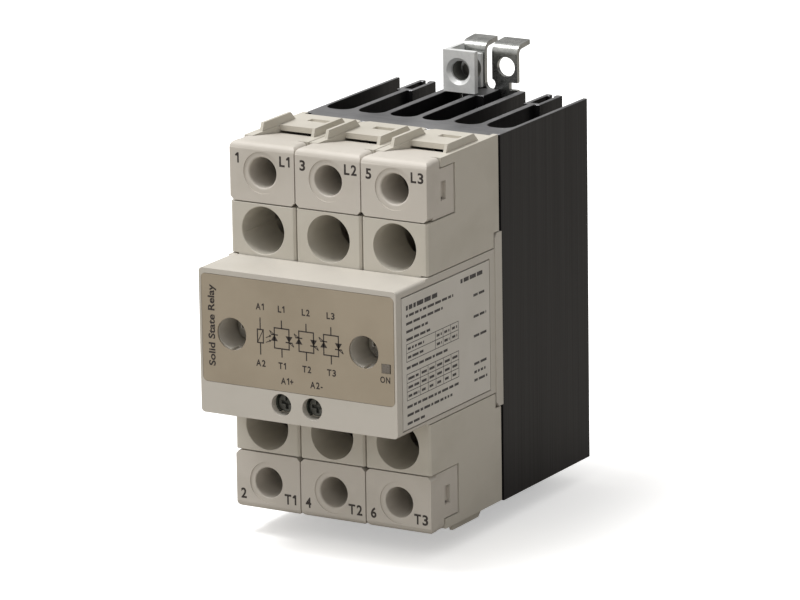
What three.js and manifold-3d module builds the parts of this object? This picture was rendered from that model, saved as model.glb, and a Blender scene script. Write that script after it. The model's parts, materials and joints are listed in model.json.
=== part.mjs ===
// A three-pole solid state relay on a finned heatsink that clips on 35 mm rail.
// Millimetres. +X is right, +Y is back, +Z is up.
// The origin is the centre of the face that the rail rests against.
// Depths are measured back from the terminal faces, and depth() turns one into a Y.

import * as THREE from 'three';
import { mergeVertices } from 'three/addons/utils/BufferGeometryUtils.js';
import Module from 'manifold-3d';

const wasm = await Module();
wasm.setup();

// Facets of round pieces, the reach of a cutting tool past what it cuts, and the
// lap of a rib, a tube or a shank into the wall or head it stands on.
const sides = { large: 24, middle: 20, small: 16, shank: 14, pin: 12 };
const over = 1;
const skin = 0.02;
const rootLap = 0.5;
const far = 200;

// Clearances.
const pieceGap = 0.3;
const poleGap = 0.3;

// Poles and housing.
const poleCount = 3;
const polePitch = 18;
const housingHeight = 90;
const terminalToSeat = 78.6;
const sideWall = 1.4;
const frontWall = 2;
const ledgeThickness = 1.5;
const shelfThickness = 1.35;
const seamHeight = 30.6;
const shelfFrontDepth = 19.3;
const housingRearDepth = 32.1;
const skirtRearDepth = 33.8;
const railWidth = 2.35;
const railThickness = 2.3;
const railFrontDepth = 6.8;
const cheekFrontDepth = 13.3;
const poleFrontChamfer = 0.5;
const poleRearRound = 1.6;

// Window in the front of a pole for the pins between control board and module.
const pinWindowHalfWidth = 3;
const pinWindowLow = -12;
const pinWindowHigh = -4;

// Ribs that stand on each end of the housing.
const ribThickness = 0.8;
const ribOffset = 7.1;
const ribHeight = 2;
const ribFootFrontDepth = 11.5;
const ribFootRearDepth = 26.7;
const ribTopFrontDepth = 12.3;
const ribTopRearDepth = 24.6;

// Pocket in the shelf of each end.
const pocketHalfWidth = 3;
const pocketFrontDepth = 25.8;
const pocketRearDepth = 28.2;
const pocketSink = 0.7;

// Power terminals.
const headClearance = 0.45;
const driverClearance = 1.3;
const screwTubeWall = 1.1;
const screwTubeDepth = 15;
const screwShankRadius = 2.5;
const screwHeadRadius = 4.5;
const screwHeadThickness = 3.2;
const screwHeadTaper = 0.4;
const powerRecess = { sink: 1.8, arm: 2.6, width: 1.2 };
const screwHeadDepth = 15.6;
const clampThickness = 1.2;
const clampTravel = 2.8;
const wireGap = 3.5;
const leadThickness = 1.2;
const leadStripWidth = 5;
const leadFootDepth = 28.2;
const leadFootLow = 6.8;
const leadKneeHeight = 10.3;
const supportInset = 0.5;

// Terminal caps.
const capHoleHeight = 38;
const capHoleRadius = 3.7;
const capTubeWall = 1.2;
const capTubeStart = 0.5;
const capTubeDepth = 11;
const capRingRadius = 5.1;
const capRingSink = 0.25;
const capFlangeDepth = 3;
const capStep = 0.25;
const capWall = 1.6;
const capTabThickness = 1.2;
const capTabDepth = 13;
const capTopDrop = 1.9;
const capTopThickness = 1.4;
const capCornerRound = 1.3;
const capFrontRound = 1.8;
const capSeamChamfer = 0.9;
const capWindowFrontDepth = 6.9;
const capWindowRearDepth = 9.3;
const capWindowLow = 34.6;
const capWindowHigh = 39.2;

// Front cover.
const coverProud = 14.9;
const coverHeight = 35.3;
const coverWall = 1.6;
const coverFrontWall = 1.9;
const coverCorner = 1;
const armRearDepth = 31.5;
const stripRearDepth = 34.7;
const stripHalfHeight = 21.3;
const stripChamfer = 1.2;
const stripProud = 0.2;
const accessPitch = 2 * polePitch;
const accessHeight = 2.3;
const accessRadius = 3.9;
const accessTubeWall = 1.2;
const accessHeadSink = 8;
const accessNotchWidth = 1.1;
const accessNotchSink = 0.5;

// Faceplate, label and lamp.
const faceplateThickness = 0.4;
const faceplateInset = 0.9;
const faceplateLow = -9.7;
const faceplateHigh = 16.1;
const faceplateCorner = 1;
const labelThickness = 0.3;
const labelProud = 0.05;
const labelFrontDepth = -12.3;
const labelRearDepth = 28.8;
const labelLow = -16.3;
const labelHigh = 15.5;
const lampInset = 2.95;
const lampHeight = -0.95;
const lampSize = 1.7;
const lampThickness = 0.8;

// Control terminals.
const controlPitch = 8.4;
const controlCentre = -0.5;
const controlHeight = -13.3;
const controlHoleClearance = 0.4;
const controlHeadRadius = 2.3;
const controlHeadThickness = 1.6;
const controlHeadSink = 2.4;
const controlRecess = { sink: 0.9, arm: 1.5, width: 0.7 };
const controlShankRadius = 1.5;
const controlClampThickness = 0.8;
const controlWireGap = 2.4;
const controlTravel = 1.5;
const controlBodyWall = 0.85;
const controlBodyTop = 1.4;
const controlPocketClearance = 0.35;
const controlBodyRear = 5;
const controlEntryLength = 5;
const controlEntryLead = 1;

// Control board.
const boardThickness = 1.6;
const boardFront = 4.6;
const boardMargin = 0.5;

// Power module of each pole.
const spreaderThickness = 2;
const spreaderGap = 0.35;
const spreaderHalfHeight = 15;
const substrateThickness = 0.6;
const substrateInset = 0.5;
const chipThickness = 0.4;
const chipHalfWidth = 3.4;
const chipHeight = 6;
const chipCentre = 9.6;

// Housing screws.
const housingShankRadius = 2;
const housingHeadRadius = 3.5;
const housingHeadThickness = 2.4;
const housingRecess = { sink: 1.4, arm: 2.1, width: 1 };
const housingHoleClearance = 0.5;
const housingScrewBite = 7.5;
const tubeFloor = 1.2;

// Heatsink.
const heatsinkInset = 0.1;
const heatsinkTop = 44.7;
const heatsinkBottom = -45.5;
const heatsinkFrontDepth = 32.4;
const heatsinkBaseThickness = 8.6;
const heatsinkRearSet = 0.6;
const finCount = 7;
const finThickness = 1.7;
const outerFinThickness = 1;
const slotRound = 3;
const rebateInset = 2;
const portLength = 11.5;
const portHalfWidth = 2.2;
const portWall = 1;
const portMouth = 1.2;
const bossHalfWidth = 3;
const bossLength = 8;
const portLip = 1.5;
const reliefTop = -10;
const reliefSink = 2.6;

// Rail clip.
const railHeight = 35;
const railEdgeGap = 0.3;
const railFlangeThickness = 1;
const clipThickness = 1.2;
const clipBottom = -44.9;
const clipBendHeight = 53.6;
const clipBendRadius = 1.2;
const clipBendAngle = 85;
const clipLipReach = 5.4;
const clipSlotLeft = -1.3;
const clipSlotRight = 0.7;
const clipSlotEnd = 45.8;
const clipEyeOffset = 0.5;
const clipEyeRadius = 1.4;
const tabHoleX = 4.6;
const tabHoleHeight = 50.4;
const tabHoleRadius = 2.45;
const clipNotchDepth = 2.2;
const clipNotchLow = 44.8;
const clipNotchHigh = 46.6;
const hookThickness = 1.2;
const hookLap = 1.3;
const hookInner = 3;
const hookOuter = 7;
const railClearance = 0.2;

// Rail latch and its spring.
const latchLeft = -5;
const latchRight = 1.5;
const latchBottom = -51;
const latchTop = -14.5;
const latchTravel = 4;
const latchEyeRadius = 1.5;
const latchEyeHeight = -48.2;
const springX = 4.9;
const springDepthFromClip = 4.1;
const springRadius = 1.8;
const springWire = 0.7;
const springCover = 1;
const springTurns = 7;
const springSeatHeight = -40;
const springSeatThickness = 1.2;
const springArmHeight = -25.5;

// Clip screws and the rivet.
const clipScrewHeights = [32, 8];
const clipScrewRadius = 1.5;
const clipScrewHeadRadius = 3;
const clipScrewBite = 7;
const clipScrewSink = 0.15;
const clipRecessArm = 1.6;
const clipRecessWidth = 0.8;
const clipRecessSink = 0.9;
const rivetX = -4.4;
const rivetHeight = 49.4;
const rivetRadius = 1.2;
const rivetHeadRadius = 2.2;
const rivetHeadThickness = 0.8;
const rivetHeadTaper = 0.5;

// Earth bracket.
const bracketLeft = -8;
const bracketRight = 0.8;
const bracketFrontDepth = 68.6;
const bracketFrontThickness = 1.6;
const bracketThickness = 1.2;
const bracketTop = 55.4;
const bracketBackDrop = 2;
const earthHoleX = -3.7;
const earthHoleHeight = 50.2;
const earthHoleRadius = 2.5;
const earthSinkRadius = 3.4;
const earthSinkDepth = 0.9;

// Values worked out from the ones above.
const poleWidth = polePitch - poleGap;
const halfPole = poleWidth / 2;
const halfWidth = ((poleCount - 1) * polePitch + poleWidth) / 2;
const halfHeight = housingHeight / 2;
const halfCover = coverHeight / 2;
const innerHalfPole = halfPole - sideWall;
const armInset = coverWall + pieceGap;
const ledgeTop = seamHeight - pieceGap / 2;
const capBottom = seamHeight + pieceGap / 2;
const railBottom = halfHeight - railThickness;
const screwHeight = ledgeTop - ledgeThickness - headClearance - screwHeadRadius;
const screwTubeRadius = screwHeadRadius + driverClearance;
const screwHoleRadius = screwShankRadius + pieceGap;
const housingHoleRadius = housingShankRadius + housingHoleClearance;
const controlShankHole = controlShankRadius + pieceGap;
const rivetTipRadius = rivetHeadRadius - rivetHeadTaper;
const clampSize = 2 * screwHeadRadius;
const leadPlateSize = clampSize;
const clampDepth = screwHeadDepth + screwHeadThickness + pieceGap;
const leadDepth = clampDepth + clampThickness + wireGap;
const screwEndDepth = leadDepth + leadThickness + wireGap - pieceGap;
const spreaderHalfWidth = halfPole - armInset - sideWall - spreaderGap;
const faceplateHalfWidth = halfWidth - faceplateInset;
const lampX = halfWidth - lampInset;
const controlHoleRadius = controlHeadRadius + controlHoleClearance;
const controlClampSize = 2 * controlHeadRadius;
const controlPocketWidth = 2 * (controlHeadRadius + controlPocketClearance);
const controlBodyWidth = controlPitch + controlPocketWidth + 2 * controlBodyWall;
const heatsinkWidth = 2 * (halfWidth - heatsinkInset);
const finsThickness = 2 * outerFinThickness + (finCount - 2) * finThickness;
const slotWidth = (heatsinkWidth - finsThickness) / (finCount - 1);
const heatsinkRear = -heatsinkRearSet;
const clipHalfWidth = slotWidth + finThickness / 2 - pieceGap;
const bossRear = -clipThickness - pieceGap;
const latchRear = -clipThickness - pieceGap;
const latchFront = latchRear - clipThickness;
const hookReach = railFlangeThickness + railClearance + hookThickness;

/** Reaches a little past both ends of a span. */
function past(span) {
  return [span[0] - over, span[1] + over];
}

/** Turns a depth behind the terminal faces into a Y. */
function depth(distance) {
  return distance - terminalToSeat;
}

/** Sine and cosine of an angle in degrees. */
function turn(degrees) {
  const radians = THREE.MathUtils.degToRad(degrees);
  return [Math.sin(radians), Math.cos(radians)];
}

/** Makes a manifold solid from a closed three.js geometry. */
function solid(geometry) {
  const bare = geometry.clone();
  bare.deleteAttribute('normal');
  bare.deleteAttribute('uv');
  const merged = mergeVertices(bare, 1e-5);
  const vertProperties = new Float32Array(merged.attributes.position.array);
  const triVerts = new Uint32Array(merged.index.array);
  return new wasm.Manifold(new wasm.Mesh({ numProp: 3, vertProperties, triVerts }));
}

/** Turns a manifold solid back into a three.js geometry. */
function geometryOf(body) {
  const mesh = body.getMesh();
  const geometry = new THREE.BufferGeometry();
  geometry.setAttribute('position', new THREE.BufferAttribute(mesh.vertProperties, 3));
  geometry.setIndex(new THREE.BufferAttribute(mesh.triVerts, 1));
  geometry.computeVertexNormals();
  return geometry;
}

/** A block between two X, two Y and two Z values. */
function block([x0, x1], [y0, y1], [z0, z1]) {
  const geometry = new THREE.BoxGeometry(x1 - x0, y1 - y0, z1 - z0);
  geometry.translate((x0 + x1) / 2, (y0 + y1) / 2, (z0 + z1) / 2);
  return solid(geometry);
}

/** A block that is centred on X. */
function centred(halfX, ySpan, zSpan) {
  return block([-halfX, halfX], ySpan, zSpan);
}

/** A round bar along Y. */
function barY(radius, x, z, [y0, y1], count = sides.middle, rearRadius = radius) {
  const geometry = new THREE.CylinderGeometry(rearRadius, radius, y1 - y0, count);
  geometry.translate(x, (y0 + y1) / 2, z);
  return solid(geometry);
}

/** An outline in X and Z, extruded along Y. */
function extrudeY(shape, [y0, y1], curveSegments = 4) {
  const options = { depth: y1 - y0, bevelEnabled: false, curveSegments };
  const geometry = new THREE.ExtrudeGeometry(shape, options);
  geometry.rotateX(Math.PI / 2);
  geometry.translate(0, y1, 0);
  return solid(geometry);
}

/** An outline in Y and Z, extruded along X. */
function extrudeX(shape, [x0, x1], curveSegments = 4) {
  const options = { depth: x1 - x0, bevelEnabled: false, curveSegments };
  const geometry = new THREE.ExtrudeGeometry(shape, options);
  const basis = new THREE.Matrix4().makeBasis(
    new THREE.Vector3(0, 1, 0),
    new THREE.Vector3(0, 0, 1),
    new THREE.Vector3(1, 0, 0),
  );
  geometry.applyMatrix4(basis);
  geometry.translate(x0, 0, 0);
  return solid(geometry);
}

/** An outline in X and Y, extruded along Z. */
function extrudeZ(shape, [z0, z1], curveSegments = 4) {
  const options = { depth: z1 - z0, bevelEnabled: false, curveSegments };
  const geometry = new THREE.ExtrudeGeometry(shape, options);
  geometry.translate(0, 0, z0);
  return solid(geometry);
}

/** A closed outline through a list of points. */
function outline(points) {
  return new THREE.Shape(points.map(([a, b]) => new THREE.Vector2(a, b)));
}

/** A rectangle with round corners. */
function roundRectangle(left, right, low, high, radius) {
  const shape = new THREE.Shape();
  shape.moveTo(left + radius, low);
  shape.lineTo(right - radius, low);
  shape.absarc(right - radius, low + radius, radius, -Math.PI / 2, 0, false);
  shape.lineTo(right, high - radius);
  shape.absarc(right - radius, high - radius, radius, 0, Math.PI / 2, false);
  shape.lineTo(left + radius, high);
  shape.absarc(left + radius, high - radius, radius, Math.PI / 2, Math.PI, false);
  shape.lineTo(left, low + radius);
  shape.absarc(left + radius, low + radius, radius, Math.PI, 1.5 * Math.PI, false);
  return shape;
}

/** Joins a list of solids. */
function join(...bodies) {
  return bodies.reduce((whole, body) => whole.add(body));
}

/** Cuts a list of solids out of a body. */
function cut(body, ...tools) {
  return tools.reduce((rest, tool) => rest.subtract(tool), body);
}

/** The same solid turned half a turn about Y, for the lower end. */
function flipped(body) {
  return body.rotate([0, 180, 0]);
}

/** A body together with its half-turned copy. */
function bothEnds(body) {
  return body.add(flipped(body));
}

/** A cross-shaped driver recess that opens at y0. */
function driverRecess(x, z, y0, { sink, arm, width }) {
  const across = block([x - arm, x + arm], [y0 - over, y0 + sink], [z - width / 2, z + width / 2]);
  const upright = block([x - width / 2, x + width / 2], [y0 - over, y0 + sink], [z - arm, z + arm]);
  return across.add(upright);
}

// Finishes.
const finishes = {
  housing: { color: 0xcfcabb, roughness: 0.55, metalness: 0 },
  cap: { color: 0xd2cdbf, roughness: 0.55, metalness: 0 },
  faceplate: { color: 0xa59a8a, roughness: 0.5, metalness: 0 },
  label: { color: 0xbdb8ac, roughness: 0.45, metalness: 0 },
  lamp: { color: 0x86857d, roughness: 0.25, metalness: 0 },
  heatsink: { color: 0x232225, roughness: 0.5, metalness: 0.6 },
  zinc: { color: 0xbfc1c0, roughness: 0.3, metalness: 1 },
  copper: { color: 0xb87850, roughness: 0.35, metalness: 1 },
  board: { color: 0x1f5a36, roughness: 0.5, metalness: 0 },
  ceramic: { color: 0xe8e6df, roughness: 0.6, metalness: 0 },
  chip: { color: 0x3a3c42, roughness: 0.3, metalness: 0.4 },
  terminal: { color: 0x2d3a33, roughness: 0.5, metalness: 0 },
};

/** Makes a named mesh with its own material. */
function piece(name, body, finish) {
  const mesh = new THREE.Mesh(geometryOf(body), new THREE.MeshStandardMaterial(finishes[finish]));
  mesh.name = name;
  return mesh;
}

// ---- Housing of one pole ----

/** The outline of a pole seen from above, with its corner details. */
function poleOutline() {
  const front = depth(0);
  const rear = depth(housingRearDepth);
  const shape = new THREE.Shape();
  shape.moveTo(-halfPole + poleFrontChamfer, front);
  shape.lineTo(halfPole - poleFrontChamfer, front);
  shape.lineTo(halfPole, front + poleFrontChamfer);
  shape.lineTo(halfPole, rear - poleRearRound);
  shape.absarc(halfPole - poleRearRound, rear - poleRearRound, poleRearRound, 0, Math.PI / 2, false);
  shape.lineTo(-halfPole + poleRearRound, rear);
  shape.lineTo(-halfPole, rear - poleRearRound);
  shape.lineTo(-halfPole, front + poleFrontChamfer);
  return shape;
}

/** The space that a terminal cap takes out of the upper end of a pole. */
function capSpace() {
  const wide = centred(polePitch, [depth(-over), depth(railFrontDepth)], [ledgeTop, halfHeight + over]);
  const underRails = centred(polePitch, [depth(-over), depth(cheekFrontDepth)], [ledgeTop, railBottom]);
  const inside = centred(innerHalfPole, [depth(-over), depth(shelfFrontDepth)], [ledgeTop, railBottom]);
  const betweenRails = centred(
    halfPole - railWidth,
    [depth(-over), depth(shelfFrontDepth)],
    [ledgeTop, halfHeight + over],
  );
  return join(wide, underRails, inside, betweenRails);
}

/** One rib, standing on the upper end of a pole. */
function rib(side) {
  const shape = outline([
    [depth(ribFootFrontDepth), halfHeight - rootLap],
    [depth(ribFootRearDepth), halfHeight - rootLap],
    [depth(ribFootRearDepth), halfHeight],
    [depth(ribTopRearDepth), halfHeight + ribHeight],
    [depth(ribTopFrontDepth), halfHeight + ribHeight],
    [depth(ribFootFrontDepth), halfHeight],
  ]);
  const middle = side * ribOffset;
  return extrudeX(shape, [middle - ribThickness / 2, middle + ribThickness / 2]);
}

/** The ramped pocket in the shelf of the upper end. */
function shelfPocket() {
  const shape = outline([
    [depth(pocketFrontDepth), halfHeight],
    [depth(pocketRearDepth), halfHeight - pocketSink],
    [depth(pocketRearDepth), halfHeight + over],
    [depth(pocketFrontDepth), halfHeight + over],
  ]);
  return extrudeX(shape, [-pocketHalfWidth, pocketHalfWidth]);
}

/** The recess and the new side wall where a cover arm lies on an outer pole. */
function armRecess(side) {
  const outer = side * halfPole;
  const inner = side * (halfPole - armInset);
  const span = [Math.min(outer + side, inner), Math.max(outer + side, inner)];
  const wallEdge = inner - side * sideWall;
  const wallSpan = [Math.min(outer, wallEdge), Math.max(outer, wallEdge)];
  const armHeight = halfCover + pieceGap;
  const stripHeight = stripHalfHeight + pieceGap;
  const stripFront = depth(armRearDepth - pieceGap);
  const armSpace = block(span, [depth(-over), depth(armRearDepth)], [-armHeight, armHeight]);
  const stripSpace = block(span, [stripFront, depth(stripRearDepth + over)], [-stripHeight, stripHeight]);
  const wall = block(
    wallSpan,
    [depth(frontWall / 2), depth(housingRearDepth)],
    [-stripHeight - sideWall, stripHeight + sideWall],
  );
  return { wall, space: armSpace.add(stripSpace) };
}

/** The moulded housing of one pole; side is -1, 0 or 1 for left, middle or right. */
function poleHousing(side) {
  const behindFront = [depth(frontWall), depth(skirtRearDepth + over)];
  const behindShelf = [depth(shelfFrontDepth), depth(skirtRearDepth + over)];
  const cavity = join(
    centred(innerHalfPole, behindFront, [-ledgeTop + ledgeThickness, ledgeTop - ledgeThickness]),
    centred(innerHalfPole, behindShelf, [-halfHeight + shelfThickness, halfHeight - shelfThickness]),
  );
  const tubeReach = [depth(0), depth(screwTubeDepth)];
  const tubeOuter = screwTubeRadius + screwTubeWall;
  const supportFront = leadDepth + leadThickness + pieceGap;
  const supportLow = screwHeight - leadPlateSize / 2;
  const supportHigh = screwHeight + leadPlateSize / 2;
  const endDetails = join(
    barY(tubeOuter, 0, screwHeight, tubeReach, sides.large),
    centred(
      halfPole - supportInset,
      [depth(supportFront), depth(housingRearDepth)],
      [supportLow, supportHigh],
    ),
    rib(-1),
    rib(1),
  );
  const endCuts = join(
    barY(screwTubeRadius, 0, screwHeight, [depth(-over), depth(screwTubeDepth + over)], sides.large),
    barY(
      screwShankRadius + pieceGap,
      0,
      screwHeight,
      [depth(supportFront - over), depth(screwEndDepth + clampTravel + pieceGap)],
    ),
    capSpace(),
    shelfPocket(),
  );
  let body = cut(extrudeZ(poleOutline(), [-halfHeight, halfHeight]), cavity);
  body = cut(body.add(bothEnds(endDetails)), bothEnds(endCuts));
  const pinWindow = centred(
    pinWindowHalfWidth,
    [depth(-over), depth(frontWall + over)],
    [pinWindowLow, pinWindowHigh],
  );
  body = cut(body, pinWindow);
  if (side === 0) {
    return body;
  }
  const { wall, space } = armRecess(side);
  const skirtInner = halfPole - sideWall;
  const skirtSpan = side > 0 ? [skirtInner, halfPole] : [-halfPole, -skirtInner];
  const skirtRear = [depth(housingRearDepth - poleRearRound - rootLap), depth(skirtRearDepth)];
  const skirt = block(skirtSpan, skirtRear, [-halfHeight, halfHeight]);
  const wallSpan = [depth(-over), depth(frontWall + over)];
  const screwHole = barY(housingHoleRadius, 0, accessHeight, wallSpan);
  return cut(join(body, skirt, wall), space, screwHole);
}

// ---- Terminal cap ----

/** The front outline of a cap, with round top corners and cut seam corners. */
function capOutline(halfX) {
  const shape = new THREE.Shape();
  shape.moveTo(-halfX + capSeamChamfer, capBottom);
  shape.lineTo(halfX - capSeamChamfer, capBottom);
  shape.lineTo(halfX, capBottom + capSeamChamfer);
  shape.lineTo(halfX, halfHeight - capCornerRound);
  shape.absarc(halfX - capCornerRound, halfHeight - capCornerRound, capCornerRound, 0, Math.PI / 2, false);
  shape.lineTo(-halfX + capCornerRound, halfHeight);
  shape.absarc(
    -halfX + capCornerRound,
    halfHeight - capCornerRound,
    capCornerRound,
    Math.PI / 2,
    Math.PI,
    false,
  );
  shape.lineTo(-halfX, capBottom + capSeamChamfer);
  return shape;
}

/** What is cut away to round the top front edge of a cap. */
function capFrontCorner() {
  const shape = new THREE.Shape();
  const centreDepth = depth(capFrontRound);
  const centreHeight = halfHeight - capFrontRound;
  shape.moveTo(depth(-over), centreHeight);
  shape.lineTo(depth(0), centreHeight);
  shape.absarc(centreDepth, centreHeight, capFrontRound, Math.PI, Math.PI / 2, true);
  shape.lineTo(centreDepth, halfHeight + over);
  shape.lineTo(depth(-over), halfHeight + over);
  return extrudeX(shape, [-polePitch, polePitch]);
}

/** A terminal cap of the upper end. */
function terminalCap() {
  const bodyRear = railFrontDepth - pieceGap;
  const tabHigh = railBottom - pieceGap;
  const tabOuter = halfPole - capStep;
  const tabInner = tabOuter - capTabThickness;
  const topRear = shelfFrontDepth - pieceGap;
  const topHalf = halfPole - railWidth - pieceGap;
  const topEnd = halfHeight - capTopDrop;
  const flange = extrudeY(capOutline(halfPole), [depth(0), depth(capFlangeDepth)]);
  const collar = extrudeY(capOutline(tabOuter), [depth(capWall), depth(bodyRear)]);
  const tabs = centred(tabOuter, [depth(capFlangeDepth), depth(capTabDepth)], [capBottom, tabHigh]);
  const topShape = outline([
    [depth(capFlangeDepth), halfHeight - capTopThickness],
    [depth(topRear), topEnd - capTopThickness],
    [depth(topRear), topEnd],
    [depth(bodyRear), halfHeight],
    [depth(capFlangeDepth), halfHeight],
  ]);
  const top = extrudeX(topShape, [-topHalf, topHalf]);
  const hollow = centred(
    tabInner,
    [depth(capWall), depth(capTabDepth + over)],
    [capBottom - over, tabHigh + skin],
  );
  const shell = cut(join(flange, collar, tabs), hollow).add(top);
  const tubeSpan = [depth(capTubeStart), depth(capTubeDepth)];
  const holeSpan = [depth(-over), depth(capTubeDepth + over)];
  const tube = barY(capHoleRadius + capTubeWall, 0, capHoleHeight, tubeSpan, sides.small);
  const hole = barY(capHoleRadius, 0, capHoleHeight, holeSpan, sides.large);
  const ring = barY(capRingRadius, 0, capHoleHeight, [depth(-over), depth(capRingSink)], sides.large);
  const windows = centred(
    polePitch,
    [depth(capWindowFrontDepth), depth(capWindowRearDepth)],
    [capWindowLow, capWindowHigh],
  );
  const keep = centred(tabInner - over, [-far, far], [-far, far]);
  return cut(shell.add(tube), hole, ring, cut(windows, keep), capFrontCorner());
}

// ---- Power terminal hardware of the upper end ----

/** The terminal screw, backed off. */
function powerScrew() {
  const head = barY(
    screwHeadRadius - screwHeadTaper,
    0,
    screwHeight,
    [depth(screwHeadDepth), depth(screwHeadDepth + screwHeadThickness)],
    sides.middle,
    screwHeadRadius,
  );
  const shank = barY(
    screwShankRadius,
    0,
    screwHeight,
    [depth(screwHeadDepth + screwHeadThickness / 2), depth(screwEndDepth)],
    sides.shank,
  );
  const recess = driverRecess(0, screwHeight, depth(screwHeadDepth), powerRecess);
  return cut(head.add(shank), recess);
}

/** The square washer that the screw presses on the wire. */
function clampPlate() {
  const half = clampSize / 2;
  const span = [depth(clampDepth), depth(clampDepth + clampThickness)];
  const plate = centred(half, span, [screwHeight - half, screwHeight + half]);
  const hole = barY(screwHoleRadius, 0, screwHeight, past(span), sides.shank);
  return cut(plate, hole);
}

/** The copper lead from the terminal to the power module. */
function powerLead() {
  const half = leadPlateSize / 2;
  const plateSpan = [depth(leadDepth), depth(leadDepth + leadThickness)];
  const footSpan = [depth(leadFootDepth - leadThickness), depth(leadFootDepth)];
  const strip = leadStripWidth / 2;
  const kneeLow = leadKneeHeight - leadThickness;
  const hole = barY(screwHoleRadius, 0, screwHeight, past(plateSpan), sides.shank);
  const lead = join(
    centred(half, plateSpan, [screwHeight - half, screwHeight + half]),
    centred(strip, plateSpan, [kneeLow, screwHeight]),
    centred(strip, [plateSpan[0], footSpan[1]], [kneeLow, leadKneeHeight]),
    centred(strip, footSpan, [leadFootLow, leadKneeHeight]),
  );
  return cut(lead, hole);
}

// ---- Power module of one pole ----

const spreaderRear = heatsinkFrontDepth - pieceGap;
const substrateRear = spreaderRear - spreaderThickness - pieceGap;
const chipRear = substrateRear - substrateThickness - pieceGap;

/** A plate of the power module, with the hole that clears the housing screw. */
function modulePlate(rearDepth, thickness, inset) {
  const span = [depth(rearDepth - thickness), depth(rearDepth)];
  const halfZ = spreaderHalfHeight - inset;
  const plate = centred(spreaderHalfWidth - inset, span, [-halfZ, halfZ]);
  return cut(plate, barY(housingHoleRadius, 0, accessHeight, past(span), sides.shank));
}

/** A thyristor chip of the upper half of the module. */
function thyristorChip() {
  const span = [depth(chipRear - chipThickness), depth(chipRear)];
  return centred(chipHalfWidth, span, [chipCentre - chipHeight / 2, chipCentre + chipHeight / 2]);
}

// ---- Front cover and what it holds ----

const accessSides = [-1, 1];
const controlSides = [-1, 1];
const accessX = accessPitch / 2;
const coverFront = depth(-coverProud);
const headSpan = [coverFront + accessHeadSink, coverFront + accessHeadSink + housingHeadThickness];
const tubeEnd = headSpan[1] + pieceGap + tubeFloor;
const coverRear = depth(-pieceGap);
const controlFront = coverFront + controlHeadSink;
const controlClampFront = controlFront + controlHeadThickness + pieceGap;
const controlSeat = controlClampFront + controlClampThickness + controlWireGap;
const controlRear = depth(-controlBodyRear);
const controlShankEnd = controlRear - controlTravel - pieceGap;

/** X of a control terminal. */
function controlX(side) {
  return controlCentre + side * controlPitch / 2;
}

/** One cover arm with the strip that hooks on the heatsink. */
function coverArm(side) {
  const outer = side * halfWidth;
  const inner = side * (halfWidth - coverWall);
  const span = [Math.min(outer, inner), Math.max(outer, inner)];
  const arm = block(span, [coverRear - 1, depth(armRearDepth)], [-halfCover, halfCover]);
  const proud = side * (halfWidth + stripProud);
  const stripSpan = [Math.min(proud, inner), Math.max(proud, inner)];
  const shape = outline([
    [depth(armRearDepth), -stripHalfHeight + stripChamfer],
    [depth(armRearDepth + stripChamfer), -stripHalfHeight],
    [depth(stripRearDepth), -stripHalfHeight],
    [depth(stripRearDepth), stripHalfHeight],
    [depth(armRearDepth + stripChamfer), stripHalfHeight],
    [depth(armRearDepth), stripHalfHeight - stripChamfer],
  ]);
  return arm.add(extrudeX(shape, stripSpan));
}

/** The tube that leads a driver to one housing screw. */
function accessTube(side) {
  const x = side * accessX;
  const notchHalf = accessNotchWidth / 2;
  const notchReach = accessRadius + accessNotchSink;
  const open = [coverFront - over, headSpan[1] + pieceGap];
  return {
    wall: barY(accessRadius + accessTubeWall, x, accessHeight, [coverFront + rootLap, tubeEnd]),
    bore: join(
      barY(accessRadius, x, accessHeight, open, sides.large),
      barY(housingShankRadius + pieceGap, x, accessHeight, [coverFront, tubeEnd + over], sides.shank),
      block(
        [x - notchHalf, x + notchHalf],
        [coverFront - over, coverFront + accessHeadSink / 2],
        [accessHeight - notchReach, accessHeight + notchReach],
      ),
    ),
  };
}

/** The square window of the lamp. */
function lampWindow(span) {
  const half = lampSize / 2 + pieceGap;
  return block([lampX - half, lampX + half], span, [lampHeight - half, lampHeight + half]);
}

/** The front cover: a box with two arms that reach back to the heatsink. */
function frontCover() {
  const shape = roundRectangle(-halfWidth, halfWidth, -halfCover, halfCover, coverCorner);
  const innerX = halfWidth - coverWall;
  const innerZ = halfCover - coverWall;
  const box = extrudeY(shape, [coverFront, coverRear]);
  const hollow = centred(innerX, [coverFront + coverFrontWall, depth(over)], [-innerZ, innerZ]);
  const tubes = accessSides.map(accessTube);
  const walls = tubes.map((tube) => tube.wall);
  const bores = tubes.map((tube) => tube.bore);
  const arms = accessSides.map(coverArm);
  const faceRecess = extrudeY(
    roundRectangle(
      -faceplateHalfWidth - pieceGap,
      faceplateHalfWidth + pieceGap,
      faceplateLow - pieceGap,
      faceplateHigh + pieceGap,
      faceplateCorner + pieceGap,
    ),
    [coverFront - over, coverFront + faceplateThickness + pieceGap],
  );
  const labelRecess = block(
    [halfWidth - labelThickness - pieceGap + labelProud, halfWidth + over],
    [depth(labelFrontDepth - pieceGap), depth(labelRearDepth + pieceGap)],
    [labelLow - pieceGap, labelHigh + pieceGap],
  );
  const wallSpan = [coverFront - over, coverFront + coverFrontWall + over];
  const controlHoles = controlSides.map((side) =>
    barY(controlHoleRadius, controlX(side), controlHeight, wallSpan),
  );
  const entryFront = controlClampFront - controlEntryLead;
  const entries = controlSides.map((side) => {
    const half = controlPocketWidth / 2;
    const span = [controlX(side) - half, controlX(side) + half];
    const height = [-halfCover - over, -innerZ + over];
    return block(span, [entryFront, entryFront + controlEntryLength], height);
  });
  return cut(
    join(cut(box, hollow), ...walls, ...arms),
    ...bores,
    faceRecess,
    labelRecess,
    lampWindow(wallSpan),
    ...controlHoles,
    ...entries,
  );
}

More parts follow.
